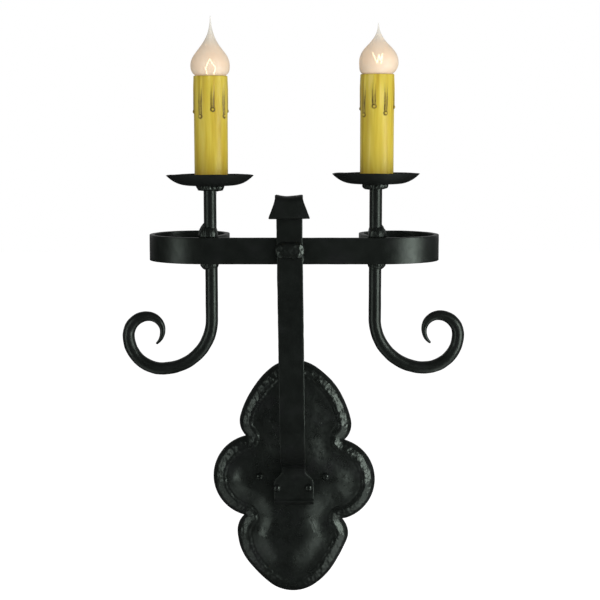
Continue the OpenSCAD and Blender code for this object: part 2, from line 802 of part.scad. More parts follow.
module weld_beads() {
    gap = 0.1;
    fillet = 2.6;
    block = [[0, 0], [1, 0], [0.97, 0.5], [0.78, 0.88], [0.3, 1], [0, 1]];
    slope = [[0, 0], [1, 0], [0.8, 0.3], [0.35, 0.65], [0.12, 1], [0, 1]];
    color(iron) {
        for (side = [LEFT, RIGHT])
            at_lamp(side) {
                translate([0, 0, tube_top_z + tube_extra(side)])
                    bead(tube_d / 2 + gap, pan_bead_d / 2, -seat_clear, -pan_bead_h, 7, block);
                bead(tube_d / 2 + gap, bead_d / 2, band_high_z + seat_clear, rod_top_z + bead_up, 6, slope);
                bead(rod_d / 2 + gap, bead_d / 2, band_low_z - seat_clear, band_low_z - bead_down, 5, slope);
            }
        leaning()
            translate([stem_w / 2, -stem_reach + stem_t, band_low_z + 0.5])
                linear_extrude(height = 7)
                    polygon([[0, 0], [0, -fillet], [fillet * 0.3, -fillet * 0.5], [fillet, 0]]);
    }
}

// Drip pans

module drip_pan(side) {
    hole_r = nipple_d / 2 + 4 * fit_clear;
    flat_r = pan_floor_d / 2;
    rim_r = pan_d / 2;
    rim_edge = 0.5;
    under = bezier2([flat_r, 0], [flat_r + (rim_r - flat_r) * 0.55, pan_h * 0.05], [rim_r, pan_h], 10);
    over = bezier2([flat_r, pan_sheet], [flat_r + (rim_r - flat_r) * 0.52, pan_sheet + pan_h * 0.05],
        [rim_r - rim_edge, pan_h], 10);
    color(iron)
        on_tube(side)
            translate([0, 0, tube_top_z])
                rotate_extrude()
                    polygon(concat([[hole_r, 0]], under, reversed(over), [[hole_r, pan_sheet]]));
}

// Lampholders

nipple_hole_r = nipple_d / 2 + fit_clear;
shell_r = shell_bore_d / 2 + shell_sheet;
liner_bore_r = shell_r + 0.2;
liner_r = liner_bore_r + liner_wall;
base_z = floor_z + socket_z;
base_top_z = base_z + socket_base_h;
strap_y = liner_r - 2 * strap_t;
strap_rivet_r = 1.6;
strap_rivet_h = 3;

module nipple(side) {
    color(zinc)
        on_tube(side)
            translate([0, 0, tube_top_z - nipple_down])
                difference() {
                    cylinder(h = nipple_down + pan_sheet + nipple_up, d = nipple_d);
                    translate([0, 0, -past])
                        cylinder(h = nipple_down + pan_sheet + nipple_up + 2 * past, d = nipple_bore_d);
                }
}

module locknut(side) {
    color(zinc)
        on_tube(side)
            translate([0, 0, floor_z])
                difference() {
                    cylinder(h = locknut_h, r = locknut_af / sqrt(3), $fn = 6);
                    translate([0, 0, -past])
                        cylinder(h = locknut_h + 2 * past, r = nipple_hole_r);
                }
}

module socket_bracket(side) {
    hub_z = floor_z + locknut_h;
    arm_z = hub_z + hub_h - strap_t;
    color(zinc)
        on_tube(side)
            difference() {
                union() {
                    translate([0, 0, hub_z])
                        cylinder(h = hub_h, d = hub_d);
                    translate([-strap_w / 2, 0, arm_z])
                        cube([strap_w, strap_y, strap_t]);
                    translate([-strap_w / 2, strap_y - strap_t, arm_z])
                        cube([strap_w, strap_t, base_z - arm_z]);
                    translate([-strap_w / 2, -strap_w / 2, base_z - strap_t])
                        cube([strap_w, strap_w / 2 + strap_y, strap_t]);
                    translate([0, 0, base_z - 2 * strap_t])
                        cylinder(h = 2 * strap_t + strap_rivet_h, r = strap_rivet_r);
                }
                translate([0, 0, hub_z - past])
                    cylinder(h = hub_h + 2 * past, r = nipple_hole_r);
            }
}

module socket_base(side) {
    notch_x = 6;
    notch_w = 7;
    color(phenolic)
        on_tube(side)
            difference() {
                union() {
                    translate([0, 0, base_z])
                        cylinder(h = socket_flange_h, r = liner_r);
                    translate([0, 0, base_z])
                        cylinder(h = socket_base_h, r = shell_r);
                }
                translate([0, 0, base_z - past])
                    cylinder(h = past + strap_rivet_h + seat_clear, r = strap_rivet_r + fit_clear);
                for (turn = [0, 180])
                    rotate([0, 0, turn])
                        translate([notch_x, -notch_w / 2, base_z - past])
                            cube([2 * liner_r, notch_w, past + socket_flange_h * 0.8]);
            }
}

module centre_contact(side) {
    stud_r = 2.5;
    pad_r = 4.5;
    pad_t = 0.8;
    color(brass_tint)
        on_tube(side)
            translate([0, 0, base_top_z]) {
                cylinder(h = contact_h - pad_t, r = stud_r);
                translate([0, 0, contact_h - pad_t])
                    cylinder(h = pad_t, r = pad_r);
            }
}

module screw_shell(side) {
    color(brass_tint)
        on_tube(side)
            translate([0, 0, base_top_z])
                difference() {
                    cylinder(h = shell_h, r = shell_r);
                    translate([0, 0, -past])
                        cylinder(h = shell_h + 2 * past, d = shell_bore_d);
                }
}

module insulating_tube(side) {
    above_shell = 4;
    liner_z = base_z + socket_flange_h;
    liner_h = socket_base_h - socket_flange_h + shell_h + above_shell;
    color(fibre)
        on_tube(side)
            translate([0, 0, liner_z])
                difference() {
                    cylinder(h = liner_h, r = liner_r);
                    translate([0, 0, -past])
                        cylinder(h = liner_h + 2 * past, r = liner_bore_r);
                }
}

// Candle sleeves: a tube with wax drips that run down from its top edge

mouth_z = floor_z + sleeve_h;

module candle_sleeve(side) {
    phase = side == LEFT ? left_drip_turn : right_drip_turn;
    wall_r = sleeve_d / 2;
    color(wax)
        on_tube(side) {
            difference() {
                translate([0, 0, floor_z])
                    cylinder(h = sleeve_h, r = wall_r);
                translate([0, 0, floor_z - past])
                    cylinder(h = sleeve_h + 2 * past, r = wall_r - sleeve_wall);
            }
            for (i = [0 : drip_count - 1]) {
                length = drip_len - (i % 2) * drip_step;
                rotate([0, 0, phase + 360 * i / drip_count])
                    translate([wall_r - drip_r * 0.2, 0, mouth_z - length]) {
                        cylinder(h = length - 0.5, r = drip_r);
                        sphere(r = drip_bead_r);
                    }
            }
        }
}

// Bulbs

contact_z = base_top_z + contact_h + lift_clear;
cap_z = contact_z + button_h;
neck_r = cap_d / 2 - 0.5;
cap_sheet = 0.35;
cap_top_z = cap_z + cap_h;
neck_z = cap_top_z - 4;
mouth_r = sleeve_d / 2 - sleeve_wall - lift_clear;
tip_end_r = 0.35;

// The outside of the glass, from the neck to the drawn tip: radius, height
function glass_side(globe_z, tip_h) =
    let (globe_r = globe_d / 2, globe = mouth_z + globe_z, tip = globe + tip_h)
    let (shoulder_pull = globe_r * 0.745, throat_r = globe_r * 0.06)
    concat(
        [[neck_r - cap_sheet, neck_z], [neck_r - cap_sheet, cap_top_z + 0.5]],
        bezier2([neck_r, cap_top_z + 2], [mouth_r, mouth_z - 5], [mouth_r, mouth_z + 0.3], 4),
        bezier2([mouth_r + 0.5, mouth_z + 0.8], [globe_r, mouth_z + globe_z * 0.3], [globe_r, globe], 7),
        [for (p = bezier3([globe_r, globe], [globe_r, globe + shoulder_pull],
            [throat_r, globe + shoulder_pull * 1.05], [tip_end_r, tip], 18))
            if (p[1] > globe) p]);

module bulb_glass(side) {
    globe_z = side == LEFT ? left_globe_z : right_globe_z;
    tip_h = side == LEFT ? left_tip_h : right_tip_h;
    outer = glass_side(globe_z, tip_h);
    inner = [for (p = outer) if (p[0] > 3 * bulb_wall)
        p - [bulb_wall, p[1] > mouth_z + globe_z ? bulb_wall : 0]];
    outer_top = outer[len(outer) - 1][1];
    inner_top = inner[len(inner) - 1][1] + bulb_wall;
    color(frosted)
        on_tube(side)
            rotate_extrude()
                polygon(concat(outer, [[0, outer_top], [0, inner_top]], reversed(inner)));
}

module bulb_cap(side) {
    color(brass_tint)
        on_tube(side)
            translate([0, 0, cap_z])
                rotate_extrude()
                    polygon([
                        [neck_r - 3, -0.6], [cap_d / 2, 1.6], [cap_d / 2, cap_h - 2], [neck_r + 0.2, cap_h],
                        [neck_r, cap_h], [neck_r, 1.9], [neck_r - 3, 0]]);
}

module bulb_contact(side) {
    color([0.1, 0.1, 0.12])
        on_tube(side)
            translate([0, 0, contact_z])
                rotate_extrude()
                    polygon([
                        [0, 0], [3.6, 0], [4.4, 0.7], [7, 1.6], [neck_r - 3 - seat_clear, button_h - 0.6],
                        [neck_r - 3 - seat_clear, button_h + 0.4], [0, button_h + 0.4]]);
}

// The filament and its mount: a glass stem, two leads and a thin bent wire
module filament(side) {
    lead_x = 3.2;
    lead_r = 0.3;
    wire_r = 0.25;
    stem_r = 2.2;
    foot_z = neck_z + 0.5;
    stem_top = mouth_z - 2;
    middle = mouth_z + (side == LEFT ? left_filament_z : right_filament_z);
    low = middle - 5;
    high = middle + 5;
    points = side == LEFT
        ? [[-lead_x, 0, low], [-1, -1.2, high], [0.6, -1.6, low + 1],
           [1.4, -1.2, high - 1], [lead_x, 0, low]]
        : [[-lead_x, 0, high - 3], [-1.2, -1.2, low], [0.2, -1.6, high - 1],
           [1.2, -1.2, low], [lead_x, 0, high]];
    color(zinc)
        on_tube(side) {
            translate([0, 0, foot_z])
                cylinder(h = 3, r = neck_r - cap_sheet - bulb_wall - lift_clear);
            translate([0, 0, foot_z])
                cylinder(h = stem_top - foot_z, r = stem_r);
            for (i = [0, len(points) - 1]) {
                top = points[i];
                rod_between([top[0] / 2, 0, stem_top - 2], top, lead_r);
            }
            for (i = [0 : len(points) - 2])
                rod_between(points[i], points[i + 1], wire_r);
            for (p = points)
                translate(p)
                    sphere(r = wire_r * 1.15);
        }
}

back_plate();
crossbar();
canopy_screws();
ground_screw();
wire_bushing();
stem_bar();
foot_rivets();
ring_band();
collar();
weld_beads();
scroll(LEFT);  // left_scroll
scroll(RIGHT);  // right_scroll
stem_tube(LEFT);  // left_stem_tube
stem_tube(RIGHT);  // right_stem_tube
drip_pan(LEFT);  // left_drip_pan
drip_pan(RIGHT);  // right_drip_pan
nipple(LEFT);  // left_nipple
nipple(RIGHT);  // right_nipple
locknut(LEFT);  // left_locknut
locknut(RIGHT);  // right_locknut
socket_bracket(LEFT);  // left_socket_bracket
socket_bracket(RIGHT);  // right_socket_bracket
socket_base(LEFT);  // left_socket_base
socket_base(RIGHT);  // right_socket_base
centre_contact(LEFT);  // left_centre_contact
centre_contact(RIGHT);  // right_centre_contact
screw_shell(LEFT);  // left_screw_shell
screw_shell(RIGHT);  // right_screw_shell
insulating_tube(LEFT);  // left_insulating_tube
insulating_tube(RIGHT);  // right_insulating_tube
candle_sleeve(LEFT);  // left_candle_sleeve
candle_sleeve(RIGHT);  // right_candle_sleeve
bulb_glass(LEFT);  // left_bulb_glass
bulb_glass(RIGHT);  // right_bulb_glass
bulb_cap(LEFT);  // left_bulb_cap
bulb_cap(RIGHT);  // right_bulb_cap
bulb_contact(LEFT);  // left_bulb_contact
bulb_contact(RIGHT);  // right_bulb_contact
filament(LEFT);  // left_filament
filament(RIGHT);  // right_filament
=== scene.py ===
"""A two-light candle sconce in forged iron, dressed over its frame.

Shapes are worked in millimetres and handed over in metres. +Z is up, the front
faces -Y and the wall is the plane y = 0.
"""
from math import asin, atan2, ceil, copysign, cos, degrees, exp, hypot, pi, radians, sin, sqrt

import bmesh
import bpy
from mathutils import Matrix, Vector, noise
from mathutils.bvhtree import BVHTree


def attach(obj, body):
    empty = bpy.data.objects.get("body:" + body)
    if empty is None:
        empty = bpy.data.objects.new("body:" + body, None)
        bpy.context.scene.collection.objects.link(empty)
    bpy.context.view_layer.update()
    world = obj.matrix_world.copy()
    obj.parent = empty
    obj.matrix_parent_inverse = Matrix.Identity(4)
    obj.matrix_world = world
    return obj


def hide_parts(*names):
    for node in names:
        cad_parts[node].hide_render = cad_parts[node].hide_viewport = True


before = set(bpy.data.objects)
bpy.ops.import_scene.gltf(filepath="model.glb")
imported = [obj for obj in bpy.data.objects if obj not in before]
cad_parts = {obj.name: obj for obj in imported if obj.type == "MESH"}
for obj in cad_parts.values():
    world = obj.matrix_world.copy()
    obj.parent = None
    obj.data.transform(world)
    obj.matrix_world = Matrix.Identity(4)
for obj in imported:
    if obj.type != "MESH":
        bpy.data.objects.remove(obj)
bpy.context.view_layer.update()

MM = 0.001
LEFT, RIGHT = -1, 1
SIDES = {"left": LEFT, "right": RIGHT}

# Camera, light and floor


def put(name, data):
    """A new object in the scene."""
    thing = bpy.data.objects.new(name, data)
    bpy.context.scene.collection.objects.link(thing)
    return thing


def put_shape(name, bm):
    mesh = bpy.data.meshes.new(name)
    bm.to_mesh(mesh)
    bm.free()
    return put(name, mesh)


def place_camera():
    lens = bpy.data.cameras.new("camera")
    lens.lens = 81
    lens.sensor_width = 36
    camera = put("camera", lens)
    camera.location = (0.0078, -1.409, 0.372)
    camera.rotation_euler = (radians(82.5), 0, 0)
    bpy.context.scene.camera = camera


def hang_soft_box(name, place, width, height, glow, on_gloss=True):
    """A rectangular lamp that faces the sconce; glow is the brightness of its face."""
    lamp = bpy.data.lights.new(name, "AREA")
    lamp.shape = "RECTANGLE"
    lamp.size = width
    lamp.size_y = height
    lamp.energy = glow * pi * width * height
    box = put(name, lamp)
    box.location = place
    box.rotation_euler = (MIDDLE - Vector(place)).to_track_quat("-Z", "Y").to_euler()
    box.visible_glossy = on_gloss


MIDDLE = Vector((0, -0.06, 0.2))
PAPER_Z, PAPER_GLOW = -0.34, 0.72
# How bright the room is for dull surfaces, and for shining ones in front and behind
ROOM_LEVEL, DARK_FRONT, PALE_BACK = 0.36, 0.035, 0.32


def plainly_seen(tree, rays):
    """1 for what the eye sees, also through glass."""
    return maths(tree, "MAXIMUM", rays["Is Camera Ray"], rays["Is Transmission Ray"])


def light_the_room():
    """White all round for the eye; for what shines, dark in front with a tall lamp at each side."""
    world = bpy.data.worlds.new("room")
    bpy.context.scene.world = world
    world.use_nodes = True
    tree = world.node_tree
    tree.nodes.clear()
    rays = add(tree, "LightPath").outputs
    shine = smooth_range(tree, whereabouts(tree, "Generated")[1]["Y"], 0.1, 0.7, DARK_FRONT, PALE_BACK)
    unseen = blend(tree, rays["Is Glossy Ray"], ROOM_LEVEL, shine)
    level = blend(tree, plainly_seen(tree, rays), unseen, 1.0)
    ground = add(tree, "Background", Color=(1, 1, 1, 1), Strength=level)
    add(tree, "OutputWorld", Surface=ground.outputs[0])

    hang_soft_box("left_box", (-0.74, -0.60, 0.12), 0.24, 0.8, 2.1)
    hang_soft_box("right_box", (0.80, -0.60, 0.12), 0.38, 0.8, 5.2)
    hang_soft_box("front_fill", (0.5, -2.2, 0.9), 1.6, 1.2, 3.3, on_gloss=False)


def lay_floor():
    """White paper under the sconce. What shines sees it bright only near by, in front and to the sides."""
    bm = bmesh.new()
    bmesh.ops.create_grid(bm, x_segments=1, y_segments=1, size=6)
    raise_by(bm, PAPER_Z)
    floor = put_shape("floor", bm)
    material, tree, shader = new_finish("pale_floor")
    rays = add(tree, "LightPath").outputs
    place, axes = whereabouts(tree)
    away = distance_to(tree, place, (0, 0.1, PAPER_Z))
    gloss = smooth_range(tree, away, 0.95, 0.5, 0.0, 1.0)
    for share in (smooth_range(tree, maths(tree, "ABSOLUTE", axes["X"]), 0.10, 0.34, DARK_FRONT, 1.3),
                  smooth_range(tree, axes["Y"], 0.0, -0.12, 0.05, 1.0),
                  spread(tree, axes["X"], 0.5, 1.0, -0.15, 0.15)):
        gloss = maths(tree, "MULTIPLY", gloss, share)
    gloss = maths(tree, "MULTIPLY", rays["Is Glossy Ray"], gloss)
    paper = maths(tree, "MULTIPLY", plainly_seen(tree, rays), PAPER_GLOW)
    base = mix_tint(tree, rays["Is Glossy Ray"], (0.93, 0.93, 0.93, 1), (0.03, 0.03, 0.03, 1))
    wire(tree, shader, Base_Color=base, Roughness=0.9, Emission_Color=(1, 1, 1, 1),
         Emission_Strength=maths(tree, "ADD", paper, gloss))
    floor.data.materials.append(material)


# Finishes


def wire(tree, node, **inputs):
    """Set inputs of a node. One named _0 goes by its number, and a socket given as a value is linked."""
    for name, value in inputs.items():
        if name[0] == "_":
            socket = node.inputs[int(name[1:])]
        else:
            wanted = name.replace("_", " ")
            socket = next(s for s in node.inputs if s.name == wanted and s.enabled)
        if isinstance(value, bpy.types.NodeSocket):
            tree.links.new(value, socket)
        else:
            socket.default_value = value


def add(tree, kind, settings=None, **inputs):
    node = tree.nodes.new("ShaderNode" + kind)
    for name, value in (settings or {}).items():
        setattr(node, name, value)
    wire(tree, node, **inputs)
    return node


def whereabouts(tree, kind="Object"):
    """The coordinates of the point that is shaded: together, and by axis."""
    place = add(tree, "TexCoord").outputs[kind]
    return place, add(tree, "SeparateXYZ", Vector=place).outputs


def maths(tree, operation, *values):
    numbered = {f"_{i}": value for i, value in enumerate(values)}
    return add(tree, "Math", {"operation": operation}, **numbered).outputs[0]


def distance_to(tree, place, point):
    return add(tree, "VectorMath", {"operation": "DISTANCE"}, _0=place, _1=point).outputs["Value"]


def spread(tree, driver, low, high, start=0.3, end=0.7, course="LINEAR"):
    """low to high as the driver goes from start to end."""
    return add(tree, "MapRange", {"interpolation_type": course}, Value=driver, From_Min=start, From_Max=end,
               To_Min=low, To_Max=high).outputs[0]


def smooth_range(tree, driver, start, end, low, high):
    """The same, slower at both ends."""
    return spread(tree, driver, low, high, start, end, "SMOOTHSTEP")


def blend(tree, amount, first, second):
    """A value between first and second."""
    return add(tree, "Mix", {"data_type": "FLOAT"}, Factor=amount, A=first, B=second).outputs[0]


def new_finish(name):
    material = bpy.data.materials.new(name)
    material.use_nodes = True
    tree = material.node_tree
    return material, tree, tree.nodes["Principled BSDF"]


def grain(tree, size, detail=2.0, stretch=(1, 1, 1), warp=0.0):
    """Noise whose features are about size millimetres across, on the piece's own coordinates."""
    stretched = add(tree, "Mapping", Vector=add(tree, "TexCoord").outputs["Object"], Scale=stretch)
    return add(tree, "TexNoise", Vector=stretched.outputs[0], Scale=1 / (size * MM), Detail=detail,
               Distortion=warp).outputs["Fac"]


def tints(tree, driver, *stops):
    """Colours along a 0 to 1 driver: pairs of a position and a colour."""
    ramp = add(tree, "ValToRGB", Fac=driver)
    marks = ramp.color_ramp.elements
    while len(marks) < len(stops):
        marks.new(0.5)
    for mark, (position, colour) in zip(marks, stops):
        mark.position = position
        mark.color = (*colour, 1)
    return ramp.outputs["Color"]


def raised(tree, *layers):
    """A bumpy normal from several layers: pairs of a height driver and its depth in millimetres."""
    normal = {}
    for height, depth in layers:
        normal["Normal"] = add(tree, "Bump", Height=height, Distance=depth * MM, Strength=1.0, **normal).outputs[0]
    return normal["Normal"]


def mix_tint(tree, amount, first, second):
    """A colour between first and second."""
    return add(tree, "Mix", {"data_type": "RGBA"}, Factor=amount, A=first, B=second).outputs[2]


def iron_finish(name, shine, mottling, skin, gleam):
    """Black stove paint over forged iron; shine is its lowest roughness and gleam its reflectance."""
    material, tree, shader = new_finish(name)
    black = tints(tree, grain(tree, 26, 3, warp=0.4), (0.3, (0.0040, 0.0046, 0.0042)),
                  (0.52, (0.0056, 0.0066, 0.0060)), (0.72, (0.0080, 0.0080, 0.0088)))
    wire(tree, shader, Base_Color=black, Roughness=spread(tree, grain(tree, 7, 3), shine, shine + mottling),
         Specular_IOR_Level=gleam, Specular_Tint=(0.84, 1.0, 0.88, 1),
         Normal=raised(tree, (grain(tree, 5, 1), 0.20 * skin), (grain(tree, 2.2, 1), 0.025 * skin)))
    return material


def metal_finish(name, colour, dull, roughness, metallic=1.0):
    """Plated or plain metal, duller in patches, with fine drawn lines."""
    material, tree, shader = new_finish(name)
    patches = spread(tree, grain(tree, 6, 4), 0, 1, 0.35, 0.7)
    wire(tree, shader, Base_Color=mix_tint(tree, patches, (*colour, 1), (*dull, 1)), Metallic=metallic,
         Roughness=spread(tree, grain(tree, 3, 3), roughness, roughness + 0.18),
         Normal=raised(tree, (grain(tree, 0.5, 2, (1, 1, 0.15)), 0.02)))
    return material


def moulded_finish(name, colour, roughness, speck=0.15):
    """Moulded plastic or board, faintly speckled."""
    material, tree, shader = new_finish(name)
    darker = tuple(c * (1 - speck) for c in colour)
    wire(tree, shader, Base_Color=mix_tint(tree, grain(tree, 1.2, 3), (*colour, 1), (*darker, 1)),
         Roughness=spread(tree, grain(tree, 4, 2), roughness, roughness + 0.12),
         Normal=raised(tree, (grain(tree, 0.6, 2), 0.02)))
    return material


def wax_finish():
    """Ochre wax, streaked up and down, darker brown towards its foot, and dark brown round the drips: brown glaze
    with painted shade in their creases, and painted shade in the bore.
    """
    material, tree, shader = new_finish("candle_wax")
    streaks = grain(tree, 5, 3, (1, 1, 0.07), 0.3)
    body = tints(tree, streaks, (0.30, (0.48, 0.325, 0.019)), (0.45, (0.57, 0.43, 0.033)),
                 (0.60, (0.64, 0.51, 0.062)), (0.74, (0.73, 0.58, 0.14)))
    # Darker brown towards the sleeve's foot
    foot = smooth_range(tree, whereabouts(tree)[1]["Z"], 0.331, 0.315, 0.0, 0.55)
    # Where the sleeve is painted dark: brown glaze with painted shade round the drips, and painted shade in the
    # bore
    glaze_and_shade = add(tree, "Attribute", {"attribute_name": "glaze_and_shade"}).outputs["Fac"]
    uneven = maths(tree, "MULTIPLY", glaze_and_shade, spread(tree, grain(tree, 2.5, 3), 0.7, 1.15))
    waxy = mix_tint(tree, uneven, mix_tint(tree, foot, body, (0.42, 0.20, 0.03, 1)), (0.060, 0.030, 0.006, 1))
    wire(tree, shader, Base_Color=waxy, Roughness=spread(tree, grain(tree, 9, 2), 0.36, 0.5),
         Subsurface_Weight=0.12, Subsurface_Radius=(0.004, 0.0025, 0.001),
         Normal=raised(tree, (grain(tree, 8, 2, (1, 1, 0.3)), 0.25), (grain(tree, 1.2, 2), 0.03)))
    return material


def coat_finish(name, glow_place, tip_from, tip_to):
    """The milky coat of a dipped bulb: warm where the wire glows behind it, thin and clear at its tip."""
    material, tree, shader = new_finish(name)
    place, axes = whereabouts(tree)
    off = distance_to(tree, place, tuple(c * MM for c in glow_place))
    near = smooth_range(tree, off, 0.026, 0.006, 0.0, 1.0)
    up = spread(tree, axes["Z"], 0.0, 1.0, tip_from * MM, tip_to * MM)
    skin = tints(tree, up, (0.0, (0.74, 0.62, 0.47)), (0.35, (0.79, 0.69, 0.54)), (0.75, (0.76, 0.72, 0.61)))
    warmed = mix_tint(tree, near, skin, (0.86, 0.66, 0.48, 1))
    milky = mix_tint(tree, spread(tree, grain(tree, 9, 2), 0, 0.35, 0.4, 0.75), warmed, (0.80, 0.74, 0.62, 1))
    wire(tree, shader, Base_Color=milky, Roughness=0.42, Alpha=spread(tree, up, 0.86, 0.28, 0.25, 1.0),
         Emission_Color=(1.0, 0.70, 0.45, 1), Emission_Strength=spread(tree, near, 0.02, 0.2, 0, 1))
    return material


def glow_finish():
    """A hot wire, a little uneven."""
    material, tree, shader = new_finish("filament_glow")
    warm = (1.0, 0.80, 0.46, 1)
    wire(tree, shader, Base_Color=warm, Emission_Color=warm,
         Emission_Strength=spread(tree, grain(tree, 2, 1), 6, 7.8))
    return material


def clear_finish():
    material, tree, shader = new_finish("mount_glass")
    wire(tree, shader, Base_Color=(0.95, 0.97, 0.97, 1), Transmission_Weight=1.0,
         Roughness=spread(tree, grain(tree, 6, 1), 0.03, 0.12))
    return material


# Working shapes


def ease(value, start, end):
    """0 before start, 1 after end, and smooth between them."""
    t = min(max((value - start) / (end - start), 0.0), 1.0)
    return t * t * (3 - 2 * t)


def smooth_through(points, x):
    """The height at x of a smooth line through points that are sorted by their first number."""
    if x <= points[0][0]:
        return points[0][1]
    for i in range(len(points) - 1):
        (x0, y0), (x1, y1) = points[i], points[i + 1]
        if x <= x1:
            before = points[max(i - 1, 0)]
            after = points[min(i + 2, len(points) - 1)]
            slope0 = (y1 - before[1]) / (x1 - before[0])
            slope1 = (after[1] - y0) / (after[0] - x0)
            w, t = x1 - x0, (x - x0) / (x1 - x0)
            return ((2 * t ** 3 - 3 * t ** 2 + 1) * y0 + (t ** 3 - 2 * t ** 2 + t) * w * slope0
                    + (3 * t ** 2 - 2 * t ** 3) * y1 + (t ** 3 - t ** 2) * w * slope1)
    return points[-1][1]


def along(steps, start, heading, distance):
    """The point and heading after a distance along a bent bar's middle.

    Each step is a straight run, then a bend of a radius through an angle, positive to the left.
    """
    x, y = start
    for run, radius, turn in steps:
        gone = min(distance, run)
        x += gone * cos(heading)
        y += gone * sin(heading)
        distance -= gone
        if distance > 0 and radius:
            part = min(distance / radius, abs(turn))
            side = copysign(radius, turn)
            centre_x, centre_y = x - side * sin(heading), y + side * cos(heading)
            heading += copysign(part, turn)
            x, y = centre_x + side * sin(heading), centre_y - side * cos(heading)
            distance -= part * radius
    return Vector((x + distance * cos(heading), y + distance * sin(heading))), heading


def length_of(steps):
    return sum(run + radius * abs(turn) for run, radius, turn in steps)


def join_points(bm, apart=0.001):
    bmesh.ops.remove_doubles(bm, verts=bm.verts, dist=apart)


def scale_by(bm, share):
    bmesh.ops.scale(bm, vec=(share, share, share), verts=bm.verts)


def raise_by(bm, height):
    bmesh.ops.translate(bm, vec=(0, 0, height), verts=bm.verts)


def tilt(bm, height, angle, shift):
    """Turn a shape clockwise in the front view, about a height on its middle line, and shift it."""
    bmesh.ops.rotate(bm, cent=(0, 0, height), matrix=Matrix.Rotation(angle, 3, "Y"), verts=bm.verts)
    bmesh.ops.translate(bm, vec=shift, verts=bm.verts)


def cut_long_edges(bm, axis, cuts, least):
    """Cut the edges that are longer than least along an axis."""
    edges = [e for e in bm.edges if abs(e.verts[0].co[axis] - e.verts[1].co[axis]) > least]
    bmesh.ops.subdivide_edges(bm, edges=edges, cuts=cuts, use_grid_fill=True)


def straight_bar(width, thickness, length, corner, across, lengthwise):
    """A flat bar from z = 0 up, its width along X, with rounded edges and even cuts."""
    bm = bmesh.new()
    bmesh.ops.create_cube(bm, size=1)
    bmesh.ops.transform(bm, matrix=Matrix.Diagonal((width, thickness, length, 1)), verts=bm.verts)
    raise_by(bm, length / 2)
    bmesh.ops.bevel(bm, geom=bm.edges[:], offset=corner, segments=3, profile=0.5, affect="EDGES", material=-1)
    cut_long_edges(bm, 0, across, width / 2)
    cut_long_edges(bm, 2, lengthwise, length / 2)
    return bm


def round_bar(sides, length, lengthwise):
    """A round bar of radius 1 from z = 0 up."""
    bm = bmesh.new()
    bmesh.ops.create_cone(bm, cap_ends=True, segments=sides, radius1=1, radius2=1, depth=length)
    raise_by(bm, length / 2)
    cut_long_edges(bm, 2, lengthwise, length / 2)
    return bm


def bend(bm, steps, start, heading, place):
    """Lay a straight bar along a route; place makes a point of its sideways offset and the route's plane."""
    for v in bm.verts:
        point, turned = along(steps, start, heading, v.co.z)
        out = point + v.co.y * Vector((-sin(turned), cos(turned)))
        v.co = place(v.co.x, out)


def spun(profile, centre, steps):
    """A profile of (radius, height) pairs turned round an upright axis."""
    bm = bmesh.new()
    turn_on(bm, profile, centre, steps)
    return bm


def turn_on(bm, profile, centre, steps):
    points = [bm.verts.new((centre[0] + r, centre[1], z)) for r, z in profile]
    lines = [bm.edges.new(pair) for pair in zip(points, points[1:])]
    bmesh.ops.spin(bm, geom=points + lines, cent=(centre[0], centre[1], 0), axis=(0, 0, 1), angle=2 * pi,
                   steps=steps, use_merge=True)


def about(v, centre):
    """A point's distance from an upright axis, and its direction: 0 in front, positive to the right."""
    dx, dy = v.co.x - centre[0], v.co.y - centre[1]
    return hypot(dx, dy), degrees(atan2(dx, -dy))


def push_to(v, centre, radius):
    """Move a point straight out from an upright axis, or in, to a radius."""
    r = about(v, centre)[0]
    for i in (0, 1):
        v.co[i] = centre[i] + (v.co[i] - centre[i]) / r * radius


def bezier(*points, t):
    """A point of the curve between the outer points that is drawn towards the inner ones."""
    while len(points) > 1:
        points = [[p + (q - p) * t for p, q in zip(a, b)] for a, b in zip(points, points[1:])]
    return points[0]


def punch(bm, x, z, radius, front=-200):
    """Take out the faces behind front that lie round a point of the front view; the edges left open."""
    inside = []
    for face in bm.faces:
        middle = face.calc_center_median()
        if middle.y > front and hypot(middle.x - x, middle.z - z) < radius:
            inside.append(face)
    bmesh.ops.delete(bm, geom=inside, context="FACES")
    return [e for e in bm.edges if len(e.link_faces) == 1]


def hollow(point, size):
    """How deep round hammer blows of a size have sunk a point, from 0 on the creases to 1."""
    near = noise.voronoi(point / size, distance_metric="DISTANCE")[0][0]
    return max(0.0, 1 - (near / 0.8) ** 2)


def hammer(bm, *blows, where=None):
    """Sink the surface under hammer blows, pairs of a size and a depth, and swell it as much between them."""
    bmesh.ops.recalc_face_normals(bm, faces=bm.faces)
    bm.normal_update()
    sunk = []
    for v in bm.verts:
        share = where(v.co) if where else 1.0
        depth = sum(deepest * (hollow(v.co, size) - 0.5) for size, deepest in blows)
        sunk.append(v.co - v.normal * share * depth)
    for v, place in zip(bm.verts, sunk):
        v.co = place


def hand_over(name, bm, body, finish, slot, *nodes, sharp=None, lift=0):
    """Turn a worked shape into a piece of the sconce, lifted by so many millimetres."""
    raise_by(bm, lift)
    join_points(bm)
    bmesh.ops.recalc_face_normals(bm, faces=bm.faces)
    scale_by(bm, MM)
    for face in bm.faces:
        face.smooth = True
    if sharp:
        for edge in bm.edges:
            if len(edge.link_faces) == 2 and edge.calc_face_angle(0) > radians(sharp):
                edge.smooth = False
    piece = put_shape(name, bm)
    piece.data.materials.append(finish)
    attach(piece, body)
    if nodes:
        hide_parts(*nodes)
    return piece


def lamp_piece(side_name, piece, node, bm, body, finish, slot, sharp=None, lifted=True):
    """Hand over a piece of one lamp, lifted with its tube unless told otherwise."""
    nodes = [f"{side_name}_{node}"] if node else []
    lift = RISE[SIDES[side_name]] if lifted else 0
    hand_over(f"{side_name}_{piece}", bm, body, finish, slot, *nodes, sharp=sharp, lift=lift)


